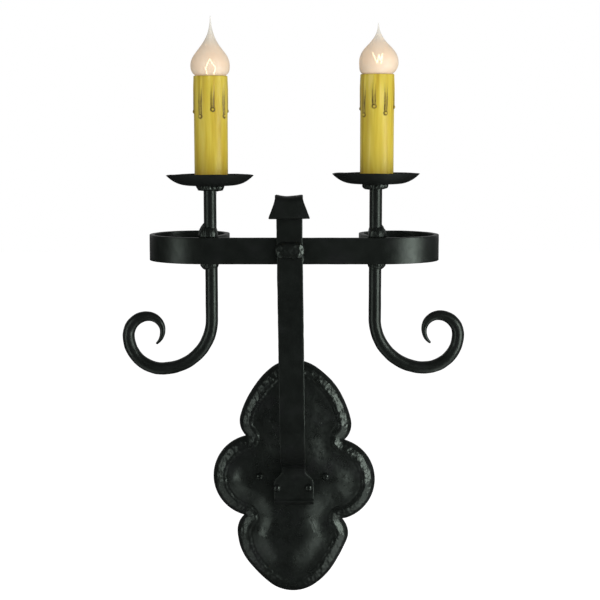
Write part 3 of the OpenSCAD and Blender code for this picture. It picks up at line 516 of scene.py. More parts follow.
def fettle(node, body, finish, slot, edge=0.12):
    """A machined part kept as drawn, with its faces joined up and its edges broken."""
    bm = bmesh.new()
    bm.from_mesh(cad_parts[node].data)
    scale_by(bm, 1000)
    join_points(bm, 0.002)
    bmesh.ops.dissolve_limit(bm, angle_limit=radians(1), verts=bm.verts, edges=bm.edges)
    piece = hand_over(node + "_fettled", bm, body, finish, slot, node, sharp=32)
    if edge:
        rounding = piece.modifiers.new("broken_edges", "BEVEL")
        rounding.width = edge * MM
        rounding.segments = 2
        rounding.limit_method = "ANGLE"
        rounding.angle_limit = radians(32)


# Back plate

SIDE_LOBE, SIDE_R = Vector((41.5, 0)), 44.8
SHOULDER, SHOULDER_R = Vector((36.5, 60)), 23.0
TIP, TIP_R = Vector((0, 86.5)), 40.0
FLANK_R = 95.0
PLATE_TURN, PLATE_AT = radians(1.4), (1.6, 0, -3.6)
# What hand work has moved after that: the bottom to the right, the low flanks and the top to the left, a lobe down
BOTTOM_ASIDE, FLANK_ASIDE, TOP_ASIDE, RIGHT_LOBE_DROP = 0.9, 1.6, 2.4, 2.1
FIELD_IN, FIELD_H = 31.0, 16.0
# The sheet's height by distance from the edge: the turned rim, then four ways up to the field
RIM = [(0, 1.7), (0.8, 3.2), (2.2, 5.3), (4, 7.2), (6, 8.4), (8, 9.5), (10, 10.4), (11.8, 10.7), (13.5, 10.2),
       (16, 9.2)]
STEEP = RIM + [(19, 9.4), (22, 10.9), (25, 13.0), (28, 15.0), (31, 16), (60, 16)]
SET_BACK = RIM + [(19, 9.2), (24, 9.8), (28, 11.2), (32, 13.1), (36, 14.8), (40, 15.8), (43, 16), (60, 16)]
GENTLE = RIM + [(20, 9.6), (26, 11.4), (32, 13.3), (38, 14.9), (44, 15.9), (48, 16), (60, 16)]
LEVEL = RIM + [(20, 9.9), (28, 11.3), (36, 12.7), (44, 14.0), (52, 15.2), (60, 16)]
PLATE_WALL = 2.0


def circles_meet(a, ra, b, rb):
    """The crossing of two circles to the right of the line from a to b."""
    d = (b - a).length
    u = (b - a) / d
    run = (ra * ra - rb * rb + d * d) / (2 * d)
    off = sqrt(ra * ra - run * run)
    return a + run * u + off * Vector((u.y, -u.x))


def angle_of(v):
    return atan2(v.y, v.x)


NOTCH = circles_meet(SIDE_LOBE, SIDE_R, SHOULDER, SHOULDER_R)
FLANK = circles_meet(TIP, FLANK_R - TIP_R, SHOULDER, FLANK_R - SHOULDER_R)
PLATE_ARCS = [
    (SIDE_LOBE, SIDE_R, 0, angle_of(NOTCH - SIDE_LOBE)),
    (SHOULDER, SHOULDER_R, angle_of(NOTCH - SHOULDER), angle_of(SHOULDER - FLANK)),
    (FLANK, FLANK_R, angle_of(SHOULDER - FLANK), angle_of(TIP - FLANK)),
    (TIP, TIP_R, angle_of(TIP - FLANK), pi / 2)]


def edge_gap(x, z):
    """Distance from a point of the plate to the plate's edge."""
    x, z = abs(x), abs(z)
    gap = hypot(x - NOTCH.x, z - NOTCH.y)
    for centre, r, start, end in PLATE_ARCS:
        dx, dz = x - centre.x, z - centre.y
        if start <= atan2(dz, dx) <= end:
            gap = min(gap, abs(r - hypot(dx, dz)))
    return gap


def inward(home, gap):
    """The point that lies gap from the edge, on the line from a point of the edge into the field."""
    aim = Vector((home.x * 0.3, 0, home.z * 0.45))
    low, high = 0.0, 1.0
    for _ in range(13):
        t = (low + high) / 2
        x, z = home.x + (aim.x - home.x) * t, home.z + (aim.z - home.z) * t
        if edge_gap(x, z) < gap:
            low = t
        else:
            high = t
    return Vector((x, 0, z))


def plate_face(x, z, gap):
    """The sheet's height: steep low down and to the left, gentle above, nearly level at the top."""
    steep = ease(-z - 0.4 * x, 5, 35)
    right = ease(x, -12, 12)
    level = ease(z, 28, 58)
    shares = ((STEEP, steep * (1 - right)), (SET_BACK, steep * right),
              (GENTLE, (1 - steep) * (1 - level)), (LEVEL, (1 - steep) * level))
    return sum(share * smooth_through(profile, gap) for profile, share in shares)


# Places about a point of the field whose heights are averaged, with their weights
ROUND_ABOUT = [(0, 0, 1.0)]
for r, n, w in ((3.5, 3, 0.8), (7, 4, 0.45), (10.5, 5, 0.2)):
    ROUND_ABOUT += [(r * cos(pi * k / n), r * sin(pi * k / n), w) for k in range(2 * n)]


def pillow(x, z, gap):
    """The height of the field with the creases of its lobes rounded off."""
    sharp = plate_face(x, z, gap)
    share = ease(gap, 13, 19)
    if share == 0:
        return sharp
    near = [(plate_face(x + dx, z + dz, edge_gap(x + dx, z + dz)), w) for dx, dz, w in ROUND_ABOUT]
    return sharp + share * (sum(h * w for h, w in near) / sum(w for h, w in near) - sharp)


def plate_relief(x, z, gap):
    """How far hammering has pushed the sheet back at a point of the plate."""
    spot = Vector((x, min(gap, 20) * 0.2, z))
    ridge = ease(gap, 0.4, 2.5) * (1 - ease(gap, 12, 17))
    flank = ease(gap, 12, 18)
    return (ridge * (0.50 * hollow(spot, 5.4) + 0.46 * hollow(spot + Vector((40, 0, 9)), 2.9))
            + flank * (0.30 * hollow(spot, 15) + 0.05 * hollow(spot, 5)))


EDGE_STEP = 1.0
# Distances from the edge at which rings of sheet are laid
FRONT_RINGS = ([0, 0.35, 0.9, 1.6] + [2.4 + 0.8 * i for i in range(19)]
               + [17.9 + 1.31 * i for i in range(10)] + [31])
BACK_RINGS = [2.2, 3.2, 4.6, 6.2] + list(range(8, 29, 2)) + [31]
WIRE_HOLE_Z, WIRE_HOLE_R = 42, 6.05


def hammered_plate(finish):
    """The plate: its edge drawn as arcs, then sheet raised ring by ring, front and back."""
    bm = bmesh.new()
    pen = bm.verts.new((SIDE_LOBE.x + SIDE_R, 0, 0))
    for centre, r, start, end in PLATE_ARCS:
        drawn = bmesh.ops.spin(bm, geom=[pen], cent=(centre.x, 0, centre.y), axis=(0, -1, 0),
                               angle=end - start, steps=ceil((end - start) * r / EDGE_STEP))
        pen = next(g for g in drawn["geom_last"] if isinstance(g, bmesh.types.BMVert))
    for axis in ("X", "Z"):
        bmesh.ops.mirror(bm, geom=bm.verts[:] + bm.edges[:], matrix=Matrix.Identity(4), merge_dist=0.01,
                         axis=axis)
    join_points(bm, 0.01)
    home = bm.verts.layers.float_vector.new("home")
    for v in bm.verts:
        v[home] = v.co.copy()
    edge = bm.edges[:]

    for v, gap in lay_skin(bm, edge, home, FRONT_RINGS, 22):
        v.co.y = min(plate_relief(v.co.x, v.co.z, gap) - pillow(v.co.x, v.co.z, gap), 0)
    skin = BVHTree.FromBMesh(bm)
    for v, gap in lay_skin(bm, edge, home, BACK_RINGS, 9):
        hit = skin.ray_cast(Vector((v.co.x, -50, v.co.z)), Vector((0, 1, 0)))[0]
        v.co.y = 0 if gap < 2.5 else min(hit.y + PLATE_WALL, 0)
    join_points(bm, 0.12)
    bm.verts.layers.float_vector.remove(home)
    hang_askew(bm)
    drill_plate(bm, WIRE_HOLE_Z, WIRE_HOLE_R)
    hand_over("hammered_plate", bm, "frame", finish, "forged_iron", "back_plate")


def hang_askew(bm):
    """Turn and shift the plate as it hangs, and move its lobes as hand work has."""
    tilt(bm, 0, PLATE_TURN, PLATE_AT)
    for v in bm.verts:
        right, low = v.co.x, -v.co.z
        flank = ease(low, 62, 84) * (1 - ease(low, 90, 108))
        v.co.x += BOTTOM_ASIDE * ease(low, 100, 120) - FLANK_ASIDE * flank - TOP_ASIDE * ease(-low, 88, 122)
        v.co.z -= RIGHT_LOBE_DROP * ease(right, 40, 60)


def lay_skin(bm, ring, home, gaps, spokes):
    """Rings of sheet from the edge to the middle: the points, each with its distance from the edge."""
    laid = []
    for gap in gaps:
        ring, verts = grow(bm, ring)
        for v in verts:
            v.co = inward(v[home], gap) if gap else v[home]
        laid += [(v, gap) for v in verts]
    for k in range(1, spokes + 1):
        ring, verts = grow(bm, ring)
        for v in verts:
            v.co = inward(v[home], FIELD_IN) * (1 - k / (spokes + 0.02))
        laid += [(v, 40) for v in verts]
    return laid


def grow(bm, ring):
    """Extrude a ring of edges and return the new ring and its points."""
    grown = bmesh.ops.extrude_edge_only(bm, edges=ring)["geom"]
    verts = [g for g in grown if isinstance(g, bmesh.types.BMVert)]
    fresh = set(verts)
    edges = [g for g in grown if isinstance(g, bmesh.types.BMEdge) and fresh.issuperset(g.verts)]
    return edges, verts


def drill_plate(bm, height, radius):
    """Open the wire hole through both skins and join their edges."""
    rims = punch(bm, 0, height, radius)
    for v in {v for e in rims for v in e.verts}:
        out = Vector((v.co.x, 0, v.co.z - height)).normalized() * radius
        v.co = (out.x, v.co.y, height + out.z)
    bmesh.ops.bridge_loops(bm, edges=rims)


# Stem: one flat bar, its foot spread and its top folded forward

STEM_W, STEM_T, STEM_REACH = 25.0, 6.0, 115.0
SWEEP = radians(75)
UPPER_R, LOWER_R = 50.0, 24.0
FOOT_TOP, FOOT_LEN, FOOT_W = -1.7, 18.3, 42.0
STEM_TOP, FOLD_R, FOLD_TURN = 303.5, 5.5, radians(168)
FLAP_LEN, FLAP_W, FOLD_W, FOLD_DIP = 15.5, 41.2, 23.0, 1.2
STEM_Y = -(STEM_REACH - STEM_T / 2)
FOOT_Y = -(FIELD_H + STEM_T / 2)
LEG = (FOOT_Y - STEM_Y - (UPPER_R + LOWER_R) * (1 - cos(SWEEP))) / sin(SWEEP)
KNEE_Z = FOOT_TOP + (UPPER_R + LOWER_R) * sin(SWEEP) + LEG * cos(SWEEP)
FOLD_Z = STEM_TOP - FOLD_R - STEM_T / 2
STEM_LEAN, STEM_ASIDE = radians(0.75), 1.2


def lean(bm):
    """What is fixed to the stem leans to the left with it, about the top of its foot."""
    tilt(bm, FOOT_TOP, -STEM_LEAN, (STEM_ASIDE, 0, 0))


def stem_half_width(z, s, fold_len):
    """Half the bar's width: spread in the foot and in the flap."""
    crest = FLAP_LEN + fold_len / 2
    if s < crest:
        return FOLD_W / 2 + (STEM_TOP - z) * (FLAP_W - FOLD_W) / 2 / (STEM_TOP - FOLD_Z + FLAP_LEN)
    narrow = FOLD_W / 2 + (STEM_W - FOLD_W) / 2 * ease(s, crest, crest + fold_len / 2 + 12)
    return narrow + (FOOT_W - STEM_W) / 2 * ease(-z, -FOOT_TOP - 10, -FOOT_TOP + 3)


def stem_bar(finish):
    """The bar is laid from the tip of its flap, over the fold and down to its foot."""
    fold = [(0, FOLD_R, FOLD_TURN), (FLAP_LEN, 0, 0)]
    end, _ = along(fold, (STEM_Y, FOLD_Z), pi / 2, length_of(fold))
    route = [(FLAP_LEN, FOLD_R, -FOLD_TURN), (FOLD_Z - KNEE_Z, UPPER_R, SWEEP), (LEG, LOWER_R, -SWEEP),
             (FOOT_LEN, 8, radians(-60))]
    heading = pi / 2 + FOLD_TURN - pi
    length = length_of(route)
    fold_len = FOLD_R * FOLD_TURN
    bm = straight_bar(STEM_W, STEM_T, length, 0.9, 14, 330)
    core = STEM_W / 2 - 1.5
    for v in bm.verts:
        x, s = v.co.x, v.co.z
        middle, _ = along(route, end, heading, s)
        spare = stem_half_width(middle.y, s, fold_len) - STEM_W / 2
        spare += 0.22 * noise.noise(Vector((0.3 * copysign(9, x), 5, s / 14)))
        v.co.x = x * (1 + spare / core) if abs(x) <= core else x + copysign(spare, x)
    bend(bm, route, end, heading, lambda x, p: Vector((x, p.x, p.y)))
    for v in bm.verts:
        crest = ease(v.co.z, FOLD_Z - 1, STEM_TOP)
        v.co.z -= crest * FOLD_DIP * (1 - min(1, (v.co.x / (FOLD_W / 2)) ** 2))
    hammer(bm, (11, 0.16), (4.2, 0.05),
           where=lambda p: 1 + 1.6 * ease(p.z, 276, 284) + 1.2 * ease(-p.z, -14, 2))
    lean(bm)
    hand_over("stem_with_flap", bm, "frame", finish, "forged_iron", "stem_bar")


# Ring band, collar and scrolls

BAND_Z, BAND_H, BAND_T = 249.0, 25.4, 4.8
BAND_Y = -(STEM_REACH - STEM_T - BAND_T / 2)
EYE_R, EYE_INNER_R, EYE_RETURN_R = 44.0, 30.5, 76.0
EYE_FRONT_R, EYE_FRONT_TURN = 68.0, 42
# The hammered bar is a little taller than its stock, and hangs a little low
BAND_SPREAD, BAND_DROP = 0.3, 0.6
LAMP_X, LAMPS_ASIDE, ROD_R = 80.0, 2.0, 6.0
LAMP_Y = BAND_Y + BAND_T / 2 + ROD_R + 0.05
EYE_DEPTH = 2 * EYE_R - EYE_INNER_R
RETURN = asin((EYE_DEPTH - (LAMP_Y - BAND_Y) - ROD_R - 0.05) / (EYE_RETURN_R + BAND_T / 2))
EYE_X = LAMP_X - EYE_RETURN_R * (1 - cos(RETURN)) + EYE_INNER_R
BAND_LOW, BAND_HIGH = BAND_Z - BAND_H / 2, BAND_Z + BAND_H / 2
# The right lamp's tube is longer, and all that it carries stands higher
RISE = {LEFT: 0.0, RIGHT: 1.6}
# How far hand work has set each rod and each tube to the right, and lifted each scroll
ROD_SET = {LEFT: -0.6, RIGHT: -0.9}
TUBE_SET = {LEFT: -1.5, RIGHT: -0.7}
SCROLL_SET = {LEFT: 0.6, RIGHT: 1.6}


def lamp_centre(side, shift=0):
    """Where the upright axis of a lamp stands, or that of its rod or tube with its shift."""
    return LAMPS_ASIDE + side * LAMP_X + shift, LAMP_Y


def ring_band(finish):
    """One bar on edge, straight in front, both ends rolled back into eyes whose front is flatter."""
    soft = radians(EYE_FRONT_TURN)
    tight = (EYE_R - EYE_FRONT_R * (1 - cos(soft))) / cos(soft)
    run = EYE_X + EYE_R - EYE_FRONT_R * sin(soft) - tight * (1 - sin(soft))
    half = [(run, EYE_FRONT_R, soft), (0, tight, pi / 2 - soft), (0, EYE_R, pi / 2), (0, EYE_INNER_R, pi / 2),
            (0, EYE_RETURN_R, RETURN)]
    length = length_of(half)
    bm = straight_bar(BAND_H + BAND_SPREAD, BAND_T, 2 * length, 0.55, 9, 620)
    for v in bm.verts:
        s = v.co.z - length
        point, turned = along(half, (0, BAND_Y), 0, abs(s))
        out = point + v.co.y * Vector((-sin(turned), cos(turned)))
        v.co = (LAMPS_ASIDE + copysign(out.x, s), out.y, BAND_Z - BAND_DROP + v.co.x)
    hammer(bm, (16, 0.10), (5, 0.025))
    hand_over("rolled_band", bm, "frame", finish, "forged_iron", "ring_band")


COLLAR_HALF = (14.1, 5.4, 8.2)
COLLAR_Y, COLLAR_Z = -113.9, BAND_Z + 0.6


def collar(finish):
    """A half-round wrap, hammered home over the crossing."""
    bm = bmesh.new()
    bmesh.ops.create_cube(bm, size=2)
    bmesh.ops.subdivide_edges(bm, edges=bm.edges[:], cuts=26, use_grid_fill=True)
    for v in bm.verts:
        girth, crown = (sum(abs(c) ** power for c in v.co) ** (1 / power) for power in (5, 2.4))
        u = v.co / (0.35 * girth + 0.65 * crown)
        v.co = (u.x * COLLAR_HALF[0], COLLAR_Y + u.y * COLLAR_HALF[1], COLLAR_Z + u.z * COLLAR_HALF[2])
    hammer(bm, (4.8, 0.85), (2.2, 0.2), where=lambda p: ease(-p.y, 111, 116))
    lean(bm)
    hand_over("hammered_collar", bm, "frame", finish, "forged_iron", "collar")


# A scroll's bends, pairs of a radius and degrees, and its bar's radius by the degrees it has turned
SCROLL = [(49, 90), (33, 90), (19, 90), (14.5, 90), (16, 55)]
ROD_TOP, SCROLL_START = BAND_HIGH + 4.3, BAND_LOW - 56.5
SCROLL_TAPER = [(0, 6), (135, 6), (225, 5.52), (270, 4.8), (340, 3.18), (415, 1.1)]


def scroll(side_name, finish):
    """A round bar, straight under the band, then curled outward and drawn to a thin tip."""
    side = SIDES[side_name]
    route = [(0, r, radians(turn)) for r, turn in SCROLL]
    route[0] = (ROD_TOP - SCROLL_START - SCROLL_SET[side], *route[0][1:])
    length = length_of(route)
    bm = round_bar(28, length, 300)
    for v in bm.verts:
        _, turned = along(route, (0, 0), -pi / 2, v.co.z)
        r = smooth_through(SCROLL_TAPER, degrees(turned + pi / 2))
        left = length - v.co.z
        if left < r:
            r *= sqrt(max(0.0, 1 - (1 - left / r) ** 2))
        flat = 1 + 0.018 * noise.noise(Vector((side * 7, 3, v.co.z / 11)))
        r += 0.1 * min(1, r / 3)
        v.co.x *= r * flat
        v.co.y *= r / flat
    middle = lamp_centre(side, ROD_SET[side])[0]
    bend(bm, route, (0, ROD_TOP), -pi / 2, lambda x, p: Vector((middle + side * p.x, LAMP_Y + x, p.y)))
    hammer(bm, (9, 0.24), (4, 0.09),
           where=lambda p: 1 - 0.75 * ease(p.z, SCROLL_START - 10, SCROLL_START + 20))
    lamp_piece(side_name, "forged_scroll", "scroll", bm, "frame", finish, "forged_iron", lifted=False)


# Lamp tubes and welds

TUBE_R, TUBE_BORE_R, TUBE_LEN = 6.2, 4.2, 45.5
TUBE_HOLE_UP, TUBE_HOLE_R = 10, 3
TUBE_TOP = ROD_TOP + TUBE_LEN
PAN_SHEET = 1.2
FLOOR_Z = TUBE_TOP + PAN_SHEET
PAN_WELD_R, BAND_WELD_R = 12.3, 9.8
# Sections of a weld: pairs of its width and height, as shares, from its wide end
KNOB = [(0, 0), (0.95, 0), (1.02, 0.12), (1.0, 0.3), (0.9, 0.48), (0.74, 0.64), (0.54, 0.78), (0.34, 0.89),
        (0.14, 0.97), (0, 1)]
BLOCK = [(0, 0), (0.98, 0), (1.03, 0.12), (1.04, 0.3), (1.0, 0.5), (0.94, 0.68), (0.84, 0.84), (0.62, 0.95),
         (0.35, 1), (0.12, 1.02), (0, 1)]


def weld(bm, centre, bore, wide, wide_z, thin_z, reach, seed, section):
    """A lumpy run of weld round a bar. reach is its width by direction, 0 in front, positive to the right."""
    lift = thin_z - wide_z
    start = len(bm.verts)
    turn_on(bm, [(bore + (wide - bore) * a, wide_z + lift * h) for a, h in section + [(0, 0)]], centre, 72)
    bm.verts.ensure_lookup_table()
    for v in bm.verts[start:]:
        r, way = about(v, centre)
        share = (r - bore) / (wide - bore)
        if share < 0.02:
            continue
        full = smooth_through(reach, way)
        spot = v.co + Vector((seed * 31, 0, 0))
        lump = 1 + 0.16 * noise.noise(spot / 2.6) + 0.14 * noise.noise(spot / 1.1)
        bead = 0.10 * cos(radians(way) * 17 + 1.5 * noise.noise(spot / 5))
        push_to(v, centre, bore + share * (wide - bore) * full * (lump + bead))
        drop = (v.co.z - wide_z) / lift
        v.co.z = wide_z + lift * drop * (0.72 + 0.36 * full + 0.12 * noise.noise(spot / 3))


# How wide each weld is, by direction
UNDER_PAN = {
    "left": [(-180, 0.75), (-100, 1.0), (-60, 0.9), (-20, 0.72), (30, 0.85), (75, 1.12), (120, 1.0), (180, 0.75)],
    "right": [(-180, 0.8), (-110, 1.08), (-60, 0.95), (0, 0.7), (50, 0.8), (95, 0.85), (140, 0.85), (180, 0.8)]}
ON_BAND = {
    "left": [(-180, 0.9), (-110, 1.5), (-60, 1.15), (0, 0.5), (70, 0.3), (120, 0.5), (180, 0.9)],
    "right": [(-180, 0.9), (-120, 0.5), (-60, 0.35), (0, 0.5), (60, 0.9), (105, 1.25), (150, 1.0), (180, 0.9)]}
BELOW_BAND = {
    "left": [(-180, 0.9), (-110, 1.3), (-60, 1.05), (-10, 0.5), (80, 0.25), (130, 0.6), (180, 0.9)],
    "right": [(-180, 0.9), (-120, 0.5), (-70, 0.3), (0, 0.5), (60, 0.9), (110, 1.1), (150, 1.0), (180, 0.9)]}


def welds(finish):
    """Three welds to each lamp, and one at the stem."""
    bm = bmesh.new()
    for name, side in SIDES.items():
        top = TUBE_TOP + RISE[side]
        tube, rod = lamp_centre(side, TUBE_SET[side]), lamp_centre(side, ROD_SET[side])
        weld(bm, tube, TUBE_R - 0.1, PAN_WELD_R, top - 0.05, top - 5.0, UNDER_PAN[name], side + 3, BLOCK)
        weld(bm, tube, TUBE_R - 0.1, BAND_WELD_R, BAND_HIGH - 0.9, ROD_TOP + 5.5, ON_BAND[name], side + 8, KNOB)
        weld(bm, rod, ROD_R - 0.1, BAND_WELD_R, BAND_LOW + 0.2, BAND_LOW - 6.0, BELOW_BAND[name], side + 14, KNOB)
    for v in bmesh.ops.create_icosphere(bm, subdivisions=4, radius=1)["verts"]:
        v.co = (STEM_W / 2 - 2.5 + 2.0 * v.co.x, -STEM_REACH + STEM_T - 1.2 + 2.0 * v.co.y,
                BAND_LOW + 4.6 + 4.4 * v.co.z)
        v.co.x += 0.35 * noise.noise(v.co / 1.3)
    hand_over("weld_runs", bm, "frame", finish, "forged_iron", "weld_beads")


def lamp_tube(side_name, finish):
    """The tube that carries the lamp, its wire hole at the back."""
    side = SIDES[side_name]
    length = TUBE_LEN + RISE[side]
    top = ROD_TOP + length
    heights = [ROD_TOP + 0.35 + (length - 0.7) * i / 60 for i in range(61)]
    profile = ([(TUBE_BORE_R, ROD_TOP), (TUBE_R - 0.3, ROD_TOP)] + [(TUBE_R, z) for z in heights]
               + [(TUBE_R - 0.3, top), (TUBE_BORE_R, top)]
               + [(TUBE_BORE_R, z) for z in reversed(heights)] + [(TUBE_BORE_R, ROD_TOP)])
    centre = lamp_centre(side, TUBE_SET[side])
    bm = spun(profile, centre, 56)
    join_points(bm)
    rims = punch(bm, centre[0], ROD_TOP + TUBE_HOLE_UP, TUBE_HOLE_R, front=LAMP_Y)
    bmesh.ops.bridge_loops(bm, edges=rims)
    hammer(bm, (8, 0.05), (2.6, 0.02))
    lamp_piece(side_name, "lamp_tube", "stem_tube", bm, "frame", finish, "forged_iron", 50, lifted=False)


# How much higher the front of each rim stands than its back
PAN_TILT = {LEFT: 2.0, RIGHT: 1.5}


def drip_pan(side_name, finish):
    """A shallow dish spun from sheet."""
    side = SIDES[side_name]
    hole, flat, rim, rise = 5.1, 23.0, 42.4, 9.6
    steps = [i / 18 for i in range(19)]
    under = [bezier((flat, 0), (flat + (rim - flat) * 0.55, rise * 0.05), (rim, rise), t=t) for t in steps]
    over = [bezier((flat, PAN_SHEET), (flat + (rim - flat) * 0.52, PAN_SHEET + rise * 0.05),
                   (rim - 0.5, rise), t=t) for t in steps]
    floor = [hole, 7, 10, 13, 16, 19]
    lip = [(rim - 0.1, rise + 0.14), (rim - 0.4, rise + 0.14)]
    profile = ([(r, 0) for r in floor] + under + lip + over[::-1]
               + [(r, PAN_SHEET) for r in reversed(floor)] + [(hole, 0)])
    centre = lamp_centre(side, TUBE_SET[side])
    bm = spun([(r, TUBE_TOP + z) for r, z in profile], centre, 120)
    for v in bm.verts:
        out = about(v, centre)[0]
        front = max(0, LAMP_Y - v.co.y) / out
        wavy = 0.35 * noise.noise(Vector((v.co.x / 22, v.co.y / 22, side * 5)))
        v.co.z += ease(out, 22, 42) * (PAN_TILT[side] * front + wavy)
    hammer(bm, (7, 0.07), where=lambda p: ease(hypot(p.x - centre[0], p.y - centre[1]), 20, 26))
    lamp_piece(side_name, "spun_pan", "drip_pan", bm, "frame", finish, "pan_iron", 60)


# Candles

SLEEVE_R, SLEEVE_BORE_R, SLEEVE_H = 16.2, 15.0, 103.4
MOUTH_Z = FLOOR_Z + SLEEVE_H
# Each drip: its direction, 0 in front and positive to the right, and its length
DRIPS = {
    "left": [(-80, 34), (-34, 38.5), (10.6, 32), (55, 38.2), (100, 33.5), (145, 38), (190, 32), (236, 36)],
    "right": [(-98, 32.8), (-53, 38.6), (-13.7, 30.5), (26.8, 37), (77, 31.2), (121, 38), (166, 33), (214, 37)]}
# How far a drip's run and its bead stand out, and the bead's radius
RUN_OUT, BEAD_OUT, BEAD_R = 0.62, 1.2, 1.75
# How dark the bore is painted: painted shade inside the sleeve
BORE_SHADE = 0.35


def drips_at(way, down, drips):
    """How far drips stand out in a direction so far below the mouth, and how dark they are painted there: brown
    glaze, with painted shade in the creases along a run's edges and round its bead.
    """
    swell = shade = 0.0
    for turn, length in drips:
        off = radians((way - turn + 180) % 360 - 180) * SLEEVE_R
        if abs(off) > 6 or down > length + 5:
            continue
        off += 0.35 * sin(down / 7 + turn)
        unended = 1 - ease(down, length - 2, length)
        broad = 1.15 - 0.25 * ease(down, 8, 24)
        run = exp(-(off / broad) ** 2) * unended
        near = hypot(off, down - length)
        bead = sqrt(max(0.0, 1 - (near / BEAD_R) ** 2))
        swell = max(swell, RUN_OUT * run * (0.35 + 0.65 * ease(down, 0, 14)), BEAD_OUT * bead)
        # Painted shade with brown glaze along both edges of a run, where it meets the sleeve, and round its bead
        side_line = exp(-((abs(off) - 1.3) / 0.75) ** 2) * ease(down, 6, 26) * unended
        ring = exp(-((near - 1.8) / 0.7) ** 2) * (1 if down > length - 2.2 else 0.5)
        core = 0.6 * exp(-(off / 1.1) ** 2) * ease(down, 12, 28) * (1 - ease(down, length - 3, length - 1))
        shade = max(shade, side_line, 1.1 * ring, core)
    return swell, shade


def candle_sleeve(side_name, finish):
    """A tube of wax with drips that run down from its mouth and end in beads."""
    side = SIDES[side_name]
    low = [FLOOR_Z + 0.4 + (SLEEVE_H - 45) * i / 20 for i in range(20)]
    high = [MOUTH_Z - 45 + 44.2 * i / 104 for i in range(105)]
    profile = ([(SLEEVE_BORE_R + 0.3, FLOOR_Z), (SLEEVE_R - 0.3, FLOOR_Z)]
               + [(SLEEVE_R, z) for z in low + high]
               + [(SLEEVE_R - 0.1, MOUTH_Z - 0.35), (SLEEVE_R - 0.4, MOUTH_Z), (SLEEVE_BORE_R + 0.2, MOUTH_Z),
                  (SLEEVE_BORE_R, MOUTH_Z - 0.3)]
               + [(SLEEVE_BORE_R, MOUTH_Z - 8 - 15 * i) for i in range(6)] + [(SLEEVE_BORE_R + 0.3, FLOOR_Z)])
    centre = lamp_centre(side)
    bm = spun(profile, centre, 264)
    # How dark the wax is painted at each point: brown glaze with painted shade round the drips, painted shade in
    # the bore, and a darker line at the mouth
    glaze_and_shade = bm.verts.layers.float.new("glaze_and_shade")
    for v in bm.verts:
        r, way = about(v, centre)
        if r < SLEEVE_R - 0.5:
            # Painted shade inside the bore
            v[glaze_and_shade] = BORE_SHADE
            continue
        down = MOUTH_Z - v.co.z
        wander = 0.07 * noise.noise(Vector((way / 20, side * 4, v.co.z / 22)))
        swell, shade = drips_at(way, down, DRIPS[side_name])
        lip = 0.30 * exp(-(down / 0.7) ** 2)
        v[glaze_and_shade] = min(1.0, shade + lip)
        push_to(v, centre, r + swell + wander)
    body = side_name + "_sleeve"
    lamp_piece(side_name, "dripped_sleeve", "candle_sleeve", bm, body, finish, "candle_wax")


# Lampholders and bulbs

BASE_TOP = FLOOR_Z + 60.0
SHELL_R, SHELL_BORE_R, SHELL_H = 13.6, 13.35, 30.0
CAP_Z = BASE_TOP + 3.2 + 0.3 + 3.5
CAP_TOP = CAP_Z + 23
CAP_R, CAP_END_R = 12.9, 9.4
THREAD = 3.63
# Each bulb: how far its globe's middle is above the sleeve, and its tip above that
BULBS = {"left": (9.5, 47.0), "right": (11.5, 37.0)}
# How far each bulb's glass stands to the right of its sleeve
BULB_SET = {LEFT: -0.3, RIGHT: 1.2}
GLOBE_R, MOUTH_R, NECK_R = 18.8, 14.7, 12.4


def threaded(profile, side, body_from, body_to, depth):
    """A spun shell with a rolled thread between two heights."""
    centre = lamp_centre(side)
    bm = spun(profile, centre, 72)
    for v in bm.verts:
        r, way = about(v, centre)
        full = ease(v.co.z, body_from, body_from + 1.5) * (1 - ease(v.co.z, body_to - 1.5, body_to))
        if r < 1 or full <= 0:
            continue
        wave = sin(radians(way) - 2 * pi * v.co.z / THREAD)
        push_to(v, centre, r - depth * full * (0.5 - 0.5 * wave))
    return bm


def screw_shell(side_name, finish):
    rows = [BASE_TOP + SHELL_H * i / 80 for i in range(81)]
    profile = [(SHELL_R, z) for z in rows] + [(SHELL_BORE_R, z) for z in reversed(rows)] + [(SHELL_R, rows[0])]
    bm = threaded(profile, SIDES[side_name], BASE_TOP + 1, BASE_TOP + SHELL_H - 3, 0.28)
    lamp_piece(side_name, "rolled_shell", "screw_shell", bm, "frame", finish, "brass", 60)


def bulb_cap(side_name, finish):
    rows = [CAP_Z + 2.2 + 17.5 * i / 60 for i in range(61)]
    profile = ([(CAP_END_R, CAP_Z - 0.6), (NECK_R - 1.2, CAP_Z + 0.1), (12.5, CAP_Z + 0.9), (CAP_R, CAP_Z + 1.7)]
               + [(CAP_R, z) for z in rows]
               + [(CAP_R - 0.05, CAP_TOP - 1.6), (NECK_R + 0.3, CAP_TOP), (NECK_R, CAP_TOP),
                  (NECK_R - 0.1, CAP_Z + 3), (CAP_END_R, CAP_Z), (CAP_END_R, CAP_Z - 0.6)])
    bm = threaded(profile, SIDES[side_name], CAP_Z + 2.2, CAP_TOP - 2.5, 0.75)
    lamp_piece(side_name, "rolled_cap", "bulb_cap", bm, side_name + "_bulb", finish, "cap_brass", 60)


def glass_side(globe_z, tip_h):
    """The outside of the glass, from its neck to its drawn tip."""
    globe = MOUTH_Z + globe_z
    pull = GLOBE_R * 0.82
    neck = (NECK_R, CAP_TOP + 2), (MOUTH_R, MOUTH_Z - 5), (MOUTH_R, MOUTH_Z + 0.3)
    bowl = (MOUTH_R + 0.3, MOUTH_Z + 0.7), (GLOBE_R, MOUTH_Z + globe_z * 0.3), (GLOBE_R, globe)
    flame = (GLOBE_R, globe), (GLOBE_R, globe + pull), (GLOBE_R * 0.06, globe + pull * 1.05), (0.35, globe + tip_h)
    return ([(NECK_R - 0.35, CAP_TOP - 4), (NECK_R - 0.35, CAP_TOP + 0.5)]
            + [bezier(*neck, t=i / 12) for i in range(13)] + [bezier(*bowl, t=i / 20) for i in range(20)]
            + [bezier(*flame, t=i / 60) for i in range(61)])


